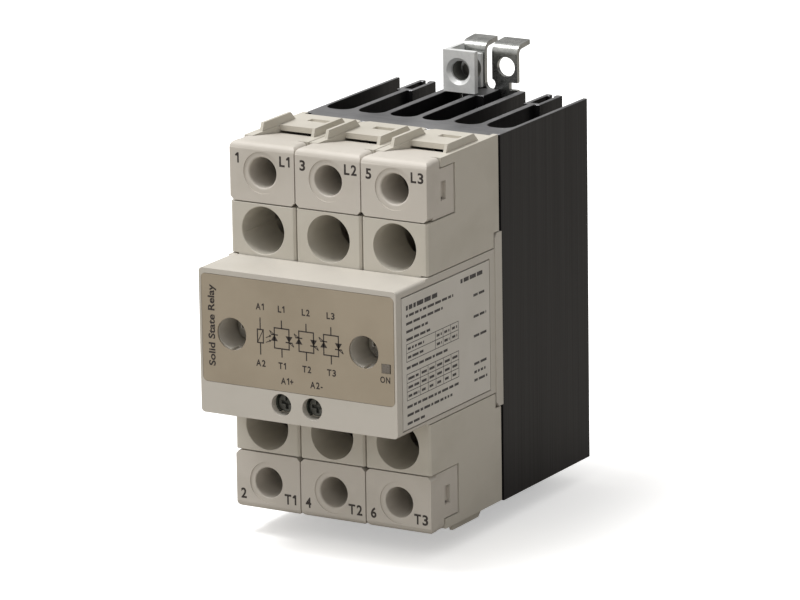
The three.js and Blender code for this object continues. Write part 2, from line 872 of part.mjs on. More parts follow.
/** The printed faceplate in the front of the cover. */
function faceplate() {
  const span = [coverFront, coverFront + faceplateThickness];
  const cutSpan = past(span);
  const shape = roundRectangle(
    -faceplateHalfWidth,
    faceplateHalfWidth,
    faceplateLow,
    faceplateHigh,
    faceplateCorner,
  );
  const holes = accessSides.map((side) =>
    barY(accessRadius + accessNotchSink, side * accessX, accessHeight, cutSpan, sides.large),
  );
  return cut(extrudeY(shape, span), ...holes, lampWindow(cutSpan));
}

/** The sticker on the right side of the cover. */
function sideLabel() {
  const shape = outline([
    [depth(labelFrontDepth), labelLow],
    [depth(labelRearDepth), labelLow],
    [depth(labelRearDepth), labelHigh],
    [depth(labelFrontDepth), labelHigh],
  ]);
  return extrudeX(shape, [halfWidth + labelProud - labelThickness, halfWidth + labelProud]);
}

/** The control board, with holes for the two access tubes. */
function controlBoard() {
  const half = halfWidth - coverWall - boardMargin;
  const halfZ = halfCover - coverWall - boardMargin;
  const span = [depth(-boardFront), depth(-boardFront + boardThickness)];
  const holes = accessSides.map((side) =>
    barY(
      accessRadius + accessTubeWall + boardMargin,
      side * accessX,
      accessHeight,
      past(span),
      sides.middle,
    ),
  );
  return cut(centred(half, span, [-halfZ, halfZ]), ...holes);
}

/** The lamp on the board. */
function lamp() {
  const rear = depth(-boardFront - pieceGap);
  const half = lampSize / 2;
  const width = [lampX - half, lampX + half];
  const height = [lampHeight - half / 2, lampHeight + half / 2];
  return block(width, [rear - lampThickness, rear], height);
}

/** The clear bar that carries the lamp's light to the window. */
function lightPipe() {
  const half = lampSize / 2;
  const rear = depth(-boardFront - pieceGap) - lampThickness - pieceGap;
  return block([lampX - half, lampX + half], [coverFront, rear], [lampHeight - half, lampHeight + half]);
}

/** The plastic body of the two control terminals. */
function controlBody() {
  const half = controlBodyWidth / 2;
  const low = -halfCover + coverWall + pieceGap;
  const high = controlHeight + controlPocketWidth / 2 + controlBodyTop;
  const front = coverFront + coverFrontWall + pieceGap;
  const blank = block([controlCentre - half, controlCentre + half], [front, controlRear], [low, high]);
  const cuts = controlSides.map((side) => {
    const x = controlX(side);
    const halfPocket = controlPocketWidth / 2;
    const pocket = block(
      [x - halfPocket, x + halfPocket],
      [front - over, controlSeat],
      [low - over, controlHeight + halfPocket],
    );
    return pocket.add(barY(controlShankHole, x, controlHeight, [front, controlRear + over], sides.pin));
  });
  return cut(blank, ...cuts);
}

/** A control screw, backed off. */
function controlScrew(side) {
  const x = controlX(side);
  const headSpan = [controlFront, controlFront + controlHeadThickness];
  const head = barY(controlHeadRadius, x, controlHeight, headSpan, sides.small);
  const shankSpan = [headSpan[1] - rootLap, controlShankEnd];
  const shank = barY(controlShankRadius, x, controlHeight, shankSpan, sides.pin);
  return cut(head.add(shank), driverRecess(x, controlHeight, controlFront, controlRecess));
}

/** The square washer of a control terminal. */
function controlClamp(side) {
  const x = controlX(side);
  const half = controlClampSize / 2;
  const span = [controlClampFront, controlClampFront + controlClampThickness];
  const plate = block([x - half, x + half], span, [controlHeight - half, controlHeight + half]);
  return cut(plate, barY(controlShankHole, x, controlHeight, past(span), sides.pin));
}

/** A long screw that holds the cover and the housings on the heatsink. */
function housingScrew(side) {
  const x = side * accessX;
  const head = barY(housingHeadRadius, x, accessHeight, headSpan, sides.middle);
  const end = depth(heatsinkFrontDepth + housingScrewBite - pieceGap);
  const shank = barY(housingShankRadius, x, accessHeight, [headSpan[0] + 1, end], sides.shank);
  return cut(head.add(shank), driverRecess(x, accessHeight, headSpan[0], housingRecess));
}

// ---- Heatsink ----

/** Left edge of a fin, counted from 0 at the left. */
function finLeft(index) {
  const left = -heatsinkWidth / 2;
  if (index === 0) {
    return left;
  }
  return left + outerFinThickness + index * slotWidth + (index - 1) * finThickness;
}

/** The slot to the right of a fin, with its round bottom. */
function finSlot(index) {
  const left = index === 0 ? finLeft(0) + outerFinThickness : finLeft(index) + finThickness;
  const right = left + slotWidth;
  const bottom = depth(heatsinkFrontDepth + heatsinkBaseThickness);
  const shape = new THREE.Shape();
  shape.moveTo(right, far);
  shape.lineTo(left, far);
  shape.lineTo(left, bottom + slotRound);
  shape.absarc(left + slotRound, bottom + slotRound, slotRound, Math.PI, 1.5 * Math.PI, false);
  shape.lineTo(right - slotRound, bottom);
  shape.absarc(right - slotRound, bottom + slotRound, slotRound, -Math.PI / 2, 0, false);
  return extrudeZ(shape, [heatsinkBottom - over, heatsinkTop + over], 4);
}

/** The screw port at the rear end of a fin. */
function screwPort(index) {
  const centre = finLeft(index) + finThickness / 2;
  const length = [heatsinkBottom, heatsinkTop];
  const front = heatsinkRear - portLength;
  const outer = block([centre - portHalfWidth, centre + portHalfWidth], [front, heatsinkRear], length);
  const half = portHalfWidth - portWall;
  const through = [heatsinkBottom - over, heatsinkTop + over];
  const pocket = block([centre - half, centre + half], [front + portLip, heatsinkRear - portLip], through);
  const mouth = block(
    [centre - portMouth / 2, centre + portMouth / 2],
    [heatsinkRear - portLip - over, heatsinkRear + over],
    through,
  );
  return { outer, pocket: pocket.add(mouth) };
}

/** The extruded heatsink, its middle fin short for the rail clip. */
function heatsink() {
  const half = heatsinkWidth / 2;
  const height = [heatsinkBottom, heatsinkTop];
  const through = [heatsinkBottom - over, heatsinkTop + over];
  const middle = (finCount - 1) / 2;
  const slots = Array.from({ length: finCount - 1 }, (_, index) => finSlot(index));
  const ports = [1, finCount - 2].map(screwPort);
  const fins = cut(block([-half, half], [depth(heatsinkFrontDepth), heatsinkRear], height), ...slots);
  const rear = block([-clipHalfWidth, clipHalfWidth], [bossRear, far], through);
  const boss = centred(bossHalfWidth, [bossRear - bossLength, bossRear], [reliefTop, heatsinkTop]);
  const relief = centred(finThickness, [latchFront - reliefSink, far], [heatsinkBottom - over, reliefTop]);
  const rebateDepth = [depth(heatsinkFrontDepth - over), depth(stripRearDepth + pieceGap)];
  const rebates = [-1, 1].map((side) => {
    const edge = side * (half - rebateInset);
    const beyond = side * (half + over);
    return block([Math.min(edge, beyond), Math.max(edge, beyond)], rebateDepth, through);
  });
  const threads = accessSides.map((side) =>
    barY(
      housingShankRadius + pieceGap,
      side * accessX,
      accessHeight,
      [depth(heatsinkFrontDepth - over), depth(heatsinkFrontDepth + housingScrewBite)],
      sides.shank,
    ),
  );
  const boreSpan = [bossRear - clipScrewBite - pieceGap, bossRear + over];
  const clipThreads = clipScrewHeights.map((level) =>
    barY(clipScrewRadius + pieceGap, 0, level, boreSpan, sides.pin),
  );
  const middleFin = finLeft(middle);
  const trimmed = cut(fins, rear);
  const whole = join(trimmed, boss, ...ports.map((port) => port.outer));
  const webbed = whole.add(
    block([middleFin, middleFin + finThickness], [bossRear - bossLength - over, bossRear], height),
  );
  return cut(webbed, relief, ...ports.map((port) => port.pocket), ...rebates, ...threads, ...clipThreads);
}

// ---- Rail clip, latch and earth bracket ----

/** The bent lip profile at the top of the clip. */
function lipProfile() {
  const [sine, cosine] = turn(clipBendAngle);
  const centreY = clipBendRadius;
  const outerRadius = clipBendRadius + clipThickness;
  const straight = (clipLipReach - centreY + clipBendRadius * cosine) / sine;
  const innerEnd = [
    centreY - clipBendRadius * cosine + straight * sine,
    clipBendHeight + clipBendRadius * sine + straight * cosine,
  ];
  const outerEnd = [
    centreY - outerRadius * cosine + straight * sine,
    clipBendHeight + outerRadius * sine + straight * cosine,
  ];
  const bendEnd = Math.PI - THREE.MathUtils.degToRad(clipBendAngle);
  const shape = new THREE.Shape();
  shape.moveTo(0, clipBendHeight - 1);
  shape.lineTo(0, clipBendHeight);
  shape.absarc(centreY, clipBendHeight, clipBendRadius, Math.PI, bendEnd, true);
  shape.lineTo(innerEnd[0], innerEnd[1]);
  shape.lineTo(outerEnd[0], outerEnd[1]);
  shape.absarc(centreY, clipBendHeight, outerRadius, bendEnd, Math.PI, false);
  shape.lineTo(-clipThickness, clipBendHeight - 1);
  return shape;
}

/** The bent steel clip: a plate with two tongues, two lips and two rail hooks. */
function railClip() {
  const sheet = [-clipThickness, 0];
  const beyond = [-clipThickness - over, over];
  const plate = centred(clipHalfWidth, sheet, [clipBottom, clipBendHeight]);
  const lips = extrudeX(lipProfile(), [-clipHalfWidth, clipHalfWidth], 6);
  const slot = block([clipSlotLeft, clipSlotRight], [-far, far], [clipSlotEnd, far]);
  const eyeX = (clipSlotLeft + clipSlotRight) / 2 + clipEyeOffset;
  const eye = barY(clipEyeRadius, eyeX, clipSlotEnd, beyond, sides.small);
  const tabHole = barY(tabHoleRadius, tabHoleX, tabHoleHeight, beyond, sides.large);
  const notch = block(
    [clipHalfWidth - clipNotchDepth, clipHalfWidth + over],
    beyond,
    [clipNotchLow, clipNotchHigh],
  );
  const edge = railHeight / 2;
  const armLow = edge + railEdgeGap;
  const hooks = [-1, 1].map((side) => {
    const span = side < 0 ? [-hookOuter, -hookInner] : [hookInner, hookOuter];
    const arm = block(span, [-clipThickness, hookReach], [armLow, armLow + hookThickness]);
    const lipHeight = [edge - hookLap, armLow + hookThickness];
    const lip = block(span, [hookReach - hookThickness, hookReach], lipHeight);
    return arm.add(lip);
  });
  const latchWindow = block(
    [latchLeft - pieceGap, latchRight + pieceGap],
    beyond,
    [-edge - railEdgeGap - 2 * hookThickness - latchTravel - pieceGap, -edge - railEdgeGap],
  );
  const springSeat = block(
    [latchRight + 2 * pieceGap, clipHalfWidth],
    [-clipThickness - springDepthFromClip - springRadius - springCover, -clipThickness / 2],
    [springSeatHeight - springSeatThickness, springSeatHeight],
  );
  const sinks = clipScrewHeights.map((height) =>
    barY(
      clipScrewRadius + pieceGap,
      0,
      height,
      [-clipThickness - rootLap, skin],
      sides.small,
      clipScrewHeadRadius + pieceGap,
    ),
  );
  const rivetHole = barY(rivetRadius + pieceGap, rivetX, rivetHeight, beyond, sides.pin);
  return cut(
    join(plate, lips, ...hooks, springSeat),
    slot,
    eye,
    tabHole,
    notch,
    latchWindow,
    rivetHole,
    ...sinks,
  );
}

/** The driver recess in the rear of a clip screw. */
function clipRecess(height, rear) {
  const arm = clipRecessArm;
  const half = clipRecessWidth / 2;
  const span = [rear - clipRecessSink, rear + over];
  const across = block([-arm, arm], span, [height - half, height + half]);
  return across.add(block([-half, half], span, [height - arm, height + arm]));
}

/** A countersunk screw that holds the clip on the heatsink. */
function clipScrew(height) {
  const rear = -clipScrewSink;
  const front = rear - clipThickness;
  const head = barY(clipScrewRadius, 0, height, [front, rear], sides.small, clipScrewHeadRadius);
  const shank = barY(clipScrewRadius, 0, height, [bossRear - clipScrewBite, front + rootLap], sides.pin);
  return cut(head.add(shank), clipRecess(height, rear));
}

/** The sliding latch that holds the lower edge of the rail. */
function railLatch() {
  const sheet = [latchFront, latchRear];
  const edge = railHeight / 2;
  const armHigh = -edge - 2 * railEdgeGap;
  const armLow = armHigh - hookThickness;
  const plate = block([latchLeft, latchRight], sheet, [latchBottom, latchTop]);
  const hookSpan = [latchLeft + pieceGap, latchRight - pieceGap];
  const arm = block(hookSpan, [latchFront, hookReach], [armLow, armHigh]);
  const lip = block(hookSpan, [hookReach - hookThickness, hookReach], [armLow, -edge + hookLap]);
  const armSpan = [springArmHeight - springSeatThickness, springArmHeight];
  const springFront = -clipThickness - springDepthFromClip - springRadius - springCover;
  const springArm = join(
    block([latchLeft, clipHalfWidth - pieceGap], sheet, armSpan),
    block([latchRight + 2 * pieceGap, clipHalfWidth - pieceGap], [springFront, latchRear], armSpan),
  );
  const eyeX = (latchLeft + latchRight) / 2;
  const eye = barY(latchEyeRadius, eyeX, latchEyeHeight, past([latchFront, latchRear]), sides.shank);
  return cut(join(plate, arm, lip, springArm), eye);
}

/** The path of a helix around a vertical axis. */
class Helix extends THREE.Curve {
  constructor(radius, low, high, turns) {
    super();
    this.radius = radius;
    this.low = low;
    this.high = high;
    this.turns = turns;
  }

  getPoint(t, target = new THREE.Vector3()) {
    const angle = 2 * Math.PI * this.turns * t;
    const height = this.low + (this.high - this.low) * t;
    return target.set(this.radius * Math.cos(angle), this.radius * Math.sin(angle), height);
  }
}

/** The spring that pushes the latch up. */
function latchSpring() {
  const low = springSeatHeight + pieceGap + springWire / 2;
  const high = springArmHeight - springSeatThickness - pieceGap - springWire / 2;
  const section = new THREE.Shape();
  section.absarc(0, 0, springWire / 2, 0, 2 * Math.PI, false);
  const path = new Helix(springRadius, low, high, springTurns);
  const options = { steps: springTurns * 10, extrudePath: path, curveSegments: 3, bevelEnabled: false };
  const geometry = new THREE.ExtrudeGeometry(section, options);
  geometry.translate(springX, -clipThickness - springDepthFromClip, 0);
  return solid(geometry);
}

/** The earth bracket, with a threaded hole in its front plate. */
function earthBracket() {
  const front = depth(bracketFrontDepth);
  const rear = -clipThickness - pieceGap;
  const low = heatsinkTop + pieceGap;
  const height = [low, bracketTop];
  const rearSpan = [rear - bracketThickness, rear];
  const plate = block([bracketLeft, bracketRight], [front, front + bracketFrontThickness], height);
  const flange = block([bracketLeft, bracketLeft + bracketThickness], [front, rear], height);
  const back = block([bracketLeft, clipSlotLeft - pieceGap], rearSpan, [low, bracketTop - bracketBackDrop]);
  const holeSpan = [front - over, front + bracketFrontThickness + over];
  const hole = barY(earthHoleRadius, earthHoleX, earthHoleHeight, holeSpan, sides.large);
  const slope = (earthSinkRadius - earthHoleRadius) / earthSinkDepth;
  const sink = barY(
    earthSinkRadius + slope * over,
    earthHoleX,
    earthHoleHeight,
    [front - over, front + earthSinkDepth],
    sides.large,
    earthHoleRadius,
  );
  const rivetSpan = [rear - bracketThickness - over, rear + over];
  const rivetHole = barY(rivetRadius + pieceGap, rivetX, rivetHeight, rivetSpan, sides.pin);
  return cut(join(plate, flange, back), hole, sink, rivetHole);
}

/** The rivet that holds the bracket on the clip. */
function bracketRivet() {
  const front = -2 * clipThickness - 2 * pieceGap;
  const rear = pieceGap;
  const first = front - rivetHeadThickness;
  const last = rear + rivetHeadThickness;
  return join(
    barY(rivetRadius, rivetX, rivetHeight, [first, last], sides.pin),
    barY(rivetTipRadius, rivetX, rivetHeight, [first, front], sides.small, rivetHeadRadius),
    barY(rivetHeadRadius, rivetX, rivetHeight, [rear, last], sides.small, rivetTipRadius),
  );
}

// ---- Assembly ----

const relay = new THREE.Group();

/** The group of one terminal; the lower end is the upper end turned half a turn. */
function terminalGroup(end, number) {
  const group = new THREE.Group();
  group.rotation.y = end === 'line' ? 0 : Math.PI;
  group.add(piece(`cap_${end}_${number}`, terminalCap(), 'cap'));
  group.add(piece(`screw_${end}_${number}`, powerScrew(), 'zinc'));
  group.add(piece(`clamp_${end}_${number}`, clampPlate(), 'zinc'));
  group.add(piece(`lead_${end}_${number}`, powerLead(), 'copper'));
  group.add(piece(`chip_${end}_${number}`, thyristorChip(), 'chip'));
  return group;
}

for (let index = 0; index < poleCount; index += 1) {
  const number = index + 1;
  const side = index === 0 ? -1 : Number(index === poleCount - 1);
  const pole = new THREE.Group();
  pole.position.x = (index - (poleCount - 1) / 2) * polePitch;
  pole.add(piece(`housing_pole_${number}`, poleHousing(side), 'housing'));
  pole.add(piece(`spreader_${number}`, modulePlate(spreaderRear, spreaderThickness, 0), 'copper'));
  const substrate = modulePlate(substrateRear, substrateThickness, substrateInset);
  pole.add(piece(`substrate_${number}`, substrate, 'ceramic'));
  pole.add(terminalGroup('line', number), terminalGroup('load', number));
  relay.add(pole);
}

relay.add(
  piece('front_cover', frontCover(), 'housing'),
  piece('faceplate', faceplate(), 'faceplate'),
  piece('side_label', sideLabel(), 'label'),
  piece('control_board', controlBoard(), 'board'),
  piece('lamp', lamp(), 'lamp'),
  piece('light_pipe', lightPipe(), 'lamp'),
  piece('control_body', controlBody(), 'terminal'),
);
['left', 'right'].forEach((word, index) => {
  const side = controlSides[index];
  relay.add(piece(`control_screw_${word}`, controlScrew(side), 'zinc'));
  relay.add(piece(`control_clamp_${word}`, controlClamp(side), 'zinc'));
  relay.add(piece(`housing_screw_${word}`, housingScrew(side), 'zinc'));
});
relay.add(
  piece('heatsink', heatsink(), 'heatsink'),
  piece('rail_clip', railClip(), 'zinc'),
  piece('rail_latch', railLatch(), 'zinc'),
  piece('latch_spring', latchSpring(), 'zinc'),
  piece('earth_bracket', earthBracket(), 'zinc'),
  piece('bracket_rivet', bracketRivet(), 'zinc'),
);
['upper', 'lower'].forEach((word, index) => {
  relay.add(piece(`clip_screw_${word}`, clipScrew(clipScrewHeights[index]), 'zinc'));
});

export default relay;
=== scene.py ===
"""A three-pole solid state relay on a finned heatsink, dressed for display around its fixed frame.

The frame gives every node's place. Sizes in this file are millimetres unless a name says otherwise,
and MM turns them into metres. +X is right, +Y is back and +Z is up.
"""

import json
import logging
import math
import random
from dataclasses import dataclass, field
from enum import Enum
from typing import Callable, Iterable, Sequence

import bmesh
import bpy
from mathutils import Matrix, Vector

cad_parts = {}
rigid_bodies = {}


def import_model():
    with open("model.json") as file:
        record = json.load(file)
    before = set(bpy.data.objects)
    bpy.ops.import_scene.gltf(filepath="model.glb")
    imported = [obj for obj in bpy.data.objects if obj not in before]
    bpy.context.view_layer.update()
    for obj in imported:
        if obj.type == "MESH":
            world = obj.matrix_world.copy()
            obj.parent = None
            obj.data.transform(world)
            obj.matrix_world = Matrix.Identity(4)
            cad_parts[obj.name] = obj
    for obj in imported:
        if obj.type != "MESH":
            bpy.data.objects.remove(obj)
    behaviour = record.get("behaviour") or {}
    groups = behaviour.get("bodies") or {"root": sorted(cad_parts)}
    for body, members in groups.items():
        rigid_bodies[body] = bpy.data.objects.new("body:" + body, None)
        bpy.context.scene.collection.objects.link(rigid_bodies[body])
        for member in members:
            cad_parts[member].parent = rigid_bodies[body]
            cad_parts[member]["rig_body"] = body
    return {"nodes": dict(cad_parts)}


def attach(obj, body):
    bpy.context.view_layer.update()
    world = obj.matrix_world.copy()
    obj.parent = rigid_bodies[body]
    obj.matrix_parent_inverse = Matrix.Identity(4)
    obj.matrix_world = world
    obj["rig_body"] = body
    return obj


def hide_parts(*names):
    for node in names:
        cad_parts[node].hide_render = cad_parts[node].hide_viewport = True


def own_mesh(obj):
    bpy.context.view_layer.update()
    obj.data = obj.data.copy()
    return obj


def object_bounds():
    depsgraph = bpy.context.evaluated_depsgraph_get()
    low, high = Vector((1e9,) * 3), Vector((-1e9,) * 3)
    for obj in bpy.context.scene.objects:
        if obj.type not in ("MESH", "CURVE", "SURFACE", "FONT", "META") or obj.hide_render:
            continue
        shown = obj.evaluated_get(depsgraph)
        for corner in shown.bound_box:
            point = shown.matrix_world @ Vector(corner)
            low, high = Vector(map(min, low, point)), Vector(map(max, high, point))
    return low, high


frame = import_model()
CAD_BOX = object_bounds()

MM = 0.001
TOUCH = 0.02
SHARP_ANGLE = math.radians(35)
SMOOTH_ANGLE = math.radians(32)
FLAT_ANGLE = math.radians(0.6)

# Meshes: how near points are merged, and which chords belong to a round feature's facets.
MERGE = TOUCH * MM / 20
LONGEST_CHORD = 0.8
DEEPEST_CHORD = 0.9

# Screw threads: steps to a turn, and the ridge's shape in pitches.
THREAD_STEPS = 24
THREAD_DEPTH = 0.25
THREAD_CREST = 0.4
THREAD_FOOT = 0.8
THREAD_SINK = 0.1

# Noise: the part of its range that is used.
NOISE_RANGE = (0.3, 0.7)

# Type, in capital heights; FONT_CAPITAL is the font's own capital height.
FONT_CAPITAL = 0.729
PRINT_WEIGHT = 0.04
GLYPH_WIDTHS = {"L": 0.60, "T": 0.74, "A": 0.86, "O": 0.88, "N": 0.76, "1": 0.40, "+": 0.56, "-": 0.34}
FIGURE_WIDTH = 0.62
GLYPH_GAP = 0.15
ONE_STEM = 0.18
ONE_FLAG = 0.66
ONE_FLAG_THICKNESS = 0.13

log = logging.getLogger("relay")


# ---------------------------------------------------------------- names and colours

class Way(Enum):
    """A named direction: its word in the names of nodes, and its sign along an axis."""

    @property
    def word(self) -> str:
        """The word that node names use."""
        return self.value[0]

    @property
    def sign(self) -> int:
        """Which way it lies along its axis, 1 or -1."""
        return self.value[1]


class End(Way):
    """An end of the relay, along Z."""

    LINE = ("line", 1)
    LOAD = ("load", -1)


class Side(Way):
    """A side of the relay, along X."""

    LEFT = ("left", -1)
    RIGHT = ("right", 1)


class Facing(Enum):
    """A printed face: which way a mark reads, which way its top points and which way it faces."""

    FRONT = ((1, 0, 0), (0, 0, 1), (0, -1, 0))
    FRONT_UPWARD = ((0, 0, 1), (-1, 0, 0), (0, -1, 0))
    RIGHT = ((0, 1, 0), (0, 0, 1), (1, 0, 0))

    def matrix(self) -> Matrix:
        """The turn that lays a flat mark on this face."""
        columns = [Vector(direction) for direction in self.value]
        return Matrix(columns).transposed().to_4x4()


def linear(red: float, green: float, blue: float) -> tuple[float, float, float, float]:
    """Turns a display colour of 0 to 255 into the linear colour that a shader takes.

    Args:
        red: The red part.
        green: The green part.
        blue: The blue part.

    Returns:
        The linear colour with an alpha of 1.
    """
    parts = [value / 255 for value in (red, green, blue)]
    light = [part / 12.92 if part <= 0.04045 else ((part + 0.055) / 1.055) ** 2.4 for part in parts]
    return (*light, 1.0)


# ---------------------------------------------------------------- finishes

class Nodes:
    """A material being made: a short way to add nodes and join their sockets."""

    def __init__(self, name: str) -> None:
        """Starts an empty material.

        Args:
            name: The material's name.
        """
        self.material = bpy.data.materials.new(name)
        self.material.use_nodes = True
        self.tree = self.material.node_tree
        self.tree.nodes.clear()
        self.output = self.add("ShaderNodeOutputMaterial")
        self.shader = self.add("ShaderNodeBsdfPrincipled")
        self.link(self.shader.outputs["BSDF"], self.output.inputs["Surface"])
        self.place = self.add("ShaderNodeTexCoord").outputs["Object"]

    def add(self, kind: str, **values: object) -> bpy.types.Node:
        """Adds a node.

        Args:
            kind: The node's type.
            **values: Properties of the node.

        Returns:
            The new node.
        """
        node = self.tree.nodes.new(kind)
        for name, value in values.items():
            setattr(node, name, value)
        return node

    def link(self, source: bpy.types.NodeSocket, target: bpy.types.NodeSocket) -> None:
        """Joins an output to an input."""
        self.tree.links.new(source, target)

    def stretched(self, scale: Sequence[float]) -> bpy.types.NodeSocket:
        """The object's coordinates, multiplied along each axis.

        Args:
            scale: The factor for X, Y and Z.

        Returns:
            The socket that carries them.
        """
        mapping = self.add("ShaderNodeMapping")
        mapping.inputs["Scale"].default_value = scale
        self.link(self.place, mapping.inputs["Vector"])
        return mapping.outputs["Vector"]

    def noise(
        self, scale: Sequence[float], detail: float = 3, roughness: float = 0.55,
    ) -> bpy.types.NodeSocket:
        """Noise with its own size along each axis.

        Args:
            scale: Lumps to the metre along X, Y and Z.
            detail: How many finer layers the noise has.
            roughness: How strong the finer layers are.

        Returns:
            The noise from 0 to 1.
        """
        texture = self.add("ShaderNodeTexNoise")
        texture.inputs["Scale"].default_value = 1
        texture.inputs["Detail"].default_value = detail
        texture.inputs["Roughness"].default_value = roughness
        self.link(self.stretched(scale), texture.inputs["Vector"])
        return texture.outputs["Fac"]

    def paint(
        self, source: bpy.types.NodeSocket, stops: Sequence[tuple[float, tuple[float, float, float]]],
    ) -> None:
        """Colours the surface between stops.

        Args:
            source: The value that is looked up.
            stops: Each stop's place and display colour.
        """
        node = self.add("ShaderNodeValToRGB")
        elements = node.color_ramp.elements
        while len(elements) < len(stops):
            elements.new(1)
        for element, (place, colour) in zip(elements, stops):
            element.position = place
            element.color = linear(*colour)
        self.link(source, node.inputs["Fac"])
        self.link(node.outputs["Color"], self.shader.inputs["Base Color"])

    def roughen(self, source: bpy.types.NodeSocket, low: float, high: float) -> None:
        """Varies the roughness with a noise.

        Args:
            source: The noise.
            low: The roughness at the low end of the noise's range.
            high: The roughness at the high end.
        """
        node = self.add("ShaderNodeMapRange")
        for name, value in zip(("From Min", "From Max", "To Min", "To Max"), (*NOISE_RANGE, low, high)):
            node.inputs[name].default_value = value
        self.link(source, node.inputs["Value"])
        self.link(node.outputs["Result"], self.shader.inputs["Roughness"])

    def bump(self, layers: Sequence[tuple[bpy.types.NodeSocket, float, float]]) -> None:
        """Adds relief to the surface, one layer over another.

        Args:
            layers: Each layer's height socket, its depth in millimetres and its strength.
        """
        normal = None
        for height, depth, strength in layers:
            node = self.add("ShaderNodeBump")
            node.inputs["Distance"].default_value = depth * MM
            node.inputs["Strength"].default_value = strength
            self.link(height, node.inputs["Height"])
            if normal is not None:
                self.link(normal, node.inputs["Normal"])
            normal = node.outputs["Normal"]
        self.link(normal, self.shader.inputs["Normal"])

    def constant(self, **values: float) -> None:
        """Sets shader sockets; an underscore in a name stands for a space."""
        for name, value in values.items():
            self.shader.inputs[name.replace("_", " ")].default_value = value


@dataclass(frozen=True)
class Finish:
    """A surface finish, made into a material once and shared."""

    name: str
    slot: str

    def dress(self, nodes: Nodes) -> None:
        """Adds this finish's own nodes."""
        raise NotImplementedError

    def material(self) -> bpy.types.Material:
        """The finish as a material.

        Returns:
            The material, made on the first call.
        """
        found = bpy.data.materials.get(self.name)
        if found is not None:
            return found
        nodes = Nodes(self.name)
        self.dress(nodes)
        return nodes.material


@dataclass(frozen=True)
class MouldedPlastic(Finish):
    """Fine spark-eroded moulded plastic with faint flow marks and a little grime."""

    colour: tuple[float, float, float] = (201, 196, 185)
    grime: tuple[float, float, float] = (192, 187, 175)
    grain: float = 2600
    relief: float = 0.012
    matt: float = 0.52

    def dress(self, nodes: Nodes) -> None:
        """Colour drifts over centimetres, and the grain is under half a millimetre.

        Args:
            nodes: The material being made.
        """
        drift = nodes.noise((38, 38, 55), detail=4)
        nodes.paint(drift, [(0.3, self.grime), (0.52, self.colour), (1, self.colour)])
        grain = nodes.noise((self.grain,) * 3, detail=2)
        rub = nodes.noise((210, 160, 260), detail=5)
        nodes.roughen(rub, self.matt - 0.07, self.matt + 0.07)
        waves = nodes.noise((60, 60, 60), detail=1)
        nodes.bump([(waves, 0.05, 0.25), (grain, self.relief, 0.6)])
        nodes.constant(IOR=1.52)


@dataclass(frozen=True)
class BlackAnodised(Finish):
    """Extruded aluminium, anodised black, with draw lines along its length."""

    colour: tuple[float, float, float] = (19, 18, 20)
    faded: tuple[float, float, float] = (25, 24, 27)

    def dress(self, nodes: Nodes) -> None:
        """Draw lines run along Z; the dye is uneven in long streaks.

        Args:
            nodes: The material being made.
        """
        lines = nodes.noise((2400, 2400, 9), detail=4)
        streaks = nodes.noise((190, 190, 3), detail=3)
        nodes.paint(streaks, [(0.35, self.colour), (0.7, self.faded)])
        nodes.roughen(lines, 0.36, 0.5)
        pits = nodes.noise((1900, 1900, 1900), detail=2)
        nodes.bump([(lines, 0.02, 0.5), (pits, 0.008, 0.4)])
        nodes.constant(Metallic=0.15, IOR=1.38)


@dataclass(frozen=True)
class SawnAluminium(Finish):
    """The cut ends of the extrusion: bare metal with saw marks, dulled by handling."""

    colour: tuple[float, float, float] = (152, 152, 154)
    shade: tuple[float, float, float] = (112, 112, 115)

    def dress(self, nodes: Nodes) -> None:
        """Saw marks lie across the extrusion.

        Args:
            nodes: The material being made.
        """
        cloud = nodes.noise((70, 70, 70), detail=5)
        nodes.paint(cloud, [(0.3, self.shade), (0.65, self.colour)])
        marks = nodes.noise((70, 2600, 70), detail=3)
        nodes.roughen(marks, 0.34, 0.52)
        nodes.bump([(marks, 0.02, 0.6)])
        nodes.constant(Metallic=0.85)


@dataclass(frozen=True)
class PlatedSteel(Finish):
    """Zinc or nickel plated steel with a cloudy lustre and fine scratches."""

    colour: tuple[float, float, float] = (206, 206, 202)
    shade: tuple[float, float, float] = (168, 169, 168)
    matt: float = 0.27
    metal: float = 1.0

    def dress(self, nodes: Nodes) -> None:
        """The plating clouds over millimetres; scratches lie across Z.

        Args:
            nodes: The material being made.
        """
        cloud = nodes.noise((320, 320, 320), detail=5, roughness=0.65)
        nodes.paint(cloud, [(0.32, self.shade), (0.66, self.colour)])
        nodes.roughen(cloud, self.matt - 0.08, self.matt + 0.1)
        scratches = nodes.noise((180, 180, 3600), detail=3)
        nodes.bump([(scratches, 0.006, 0.5), (cloud, 0.02, 0.2)])
        nodes.constant(Metallic=self.metal)


@dataclass(frozen=True)
class BareMetal(Finish):
    """Rolled bare metal, such as a copper lead, with a tarnish that varies."""

    colour: tuple[float, float, float] = (196, 132, 96)
    tarnish: tuple[float, float, float] = (140, 84, 60)

    def dress(self, nodes: Nodes) -> None:
        """Tarnish gathers in patches, and the rolling lines run along Y.

        Args:
            nodes: The material being made.
        """
        cloud = nodes.noise((240, 240, 240), detail=5)
        nodes.paint(cloud, [(0.3, self.tarnish), (0.6, self.colour)])
        lines = nodes.noise((2400, 120, 2400), detail=3)
        nodes.roughen(cloud, 0.26, 0.45)
        nodes.bump([(lines, 0.008, 0.4)])
        nodes.constant(Metallic=1.0)


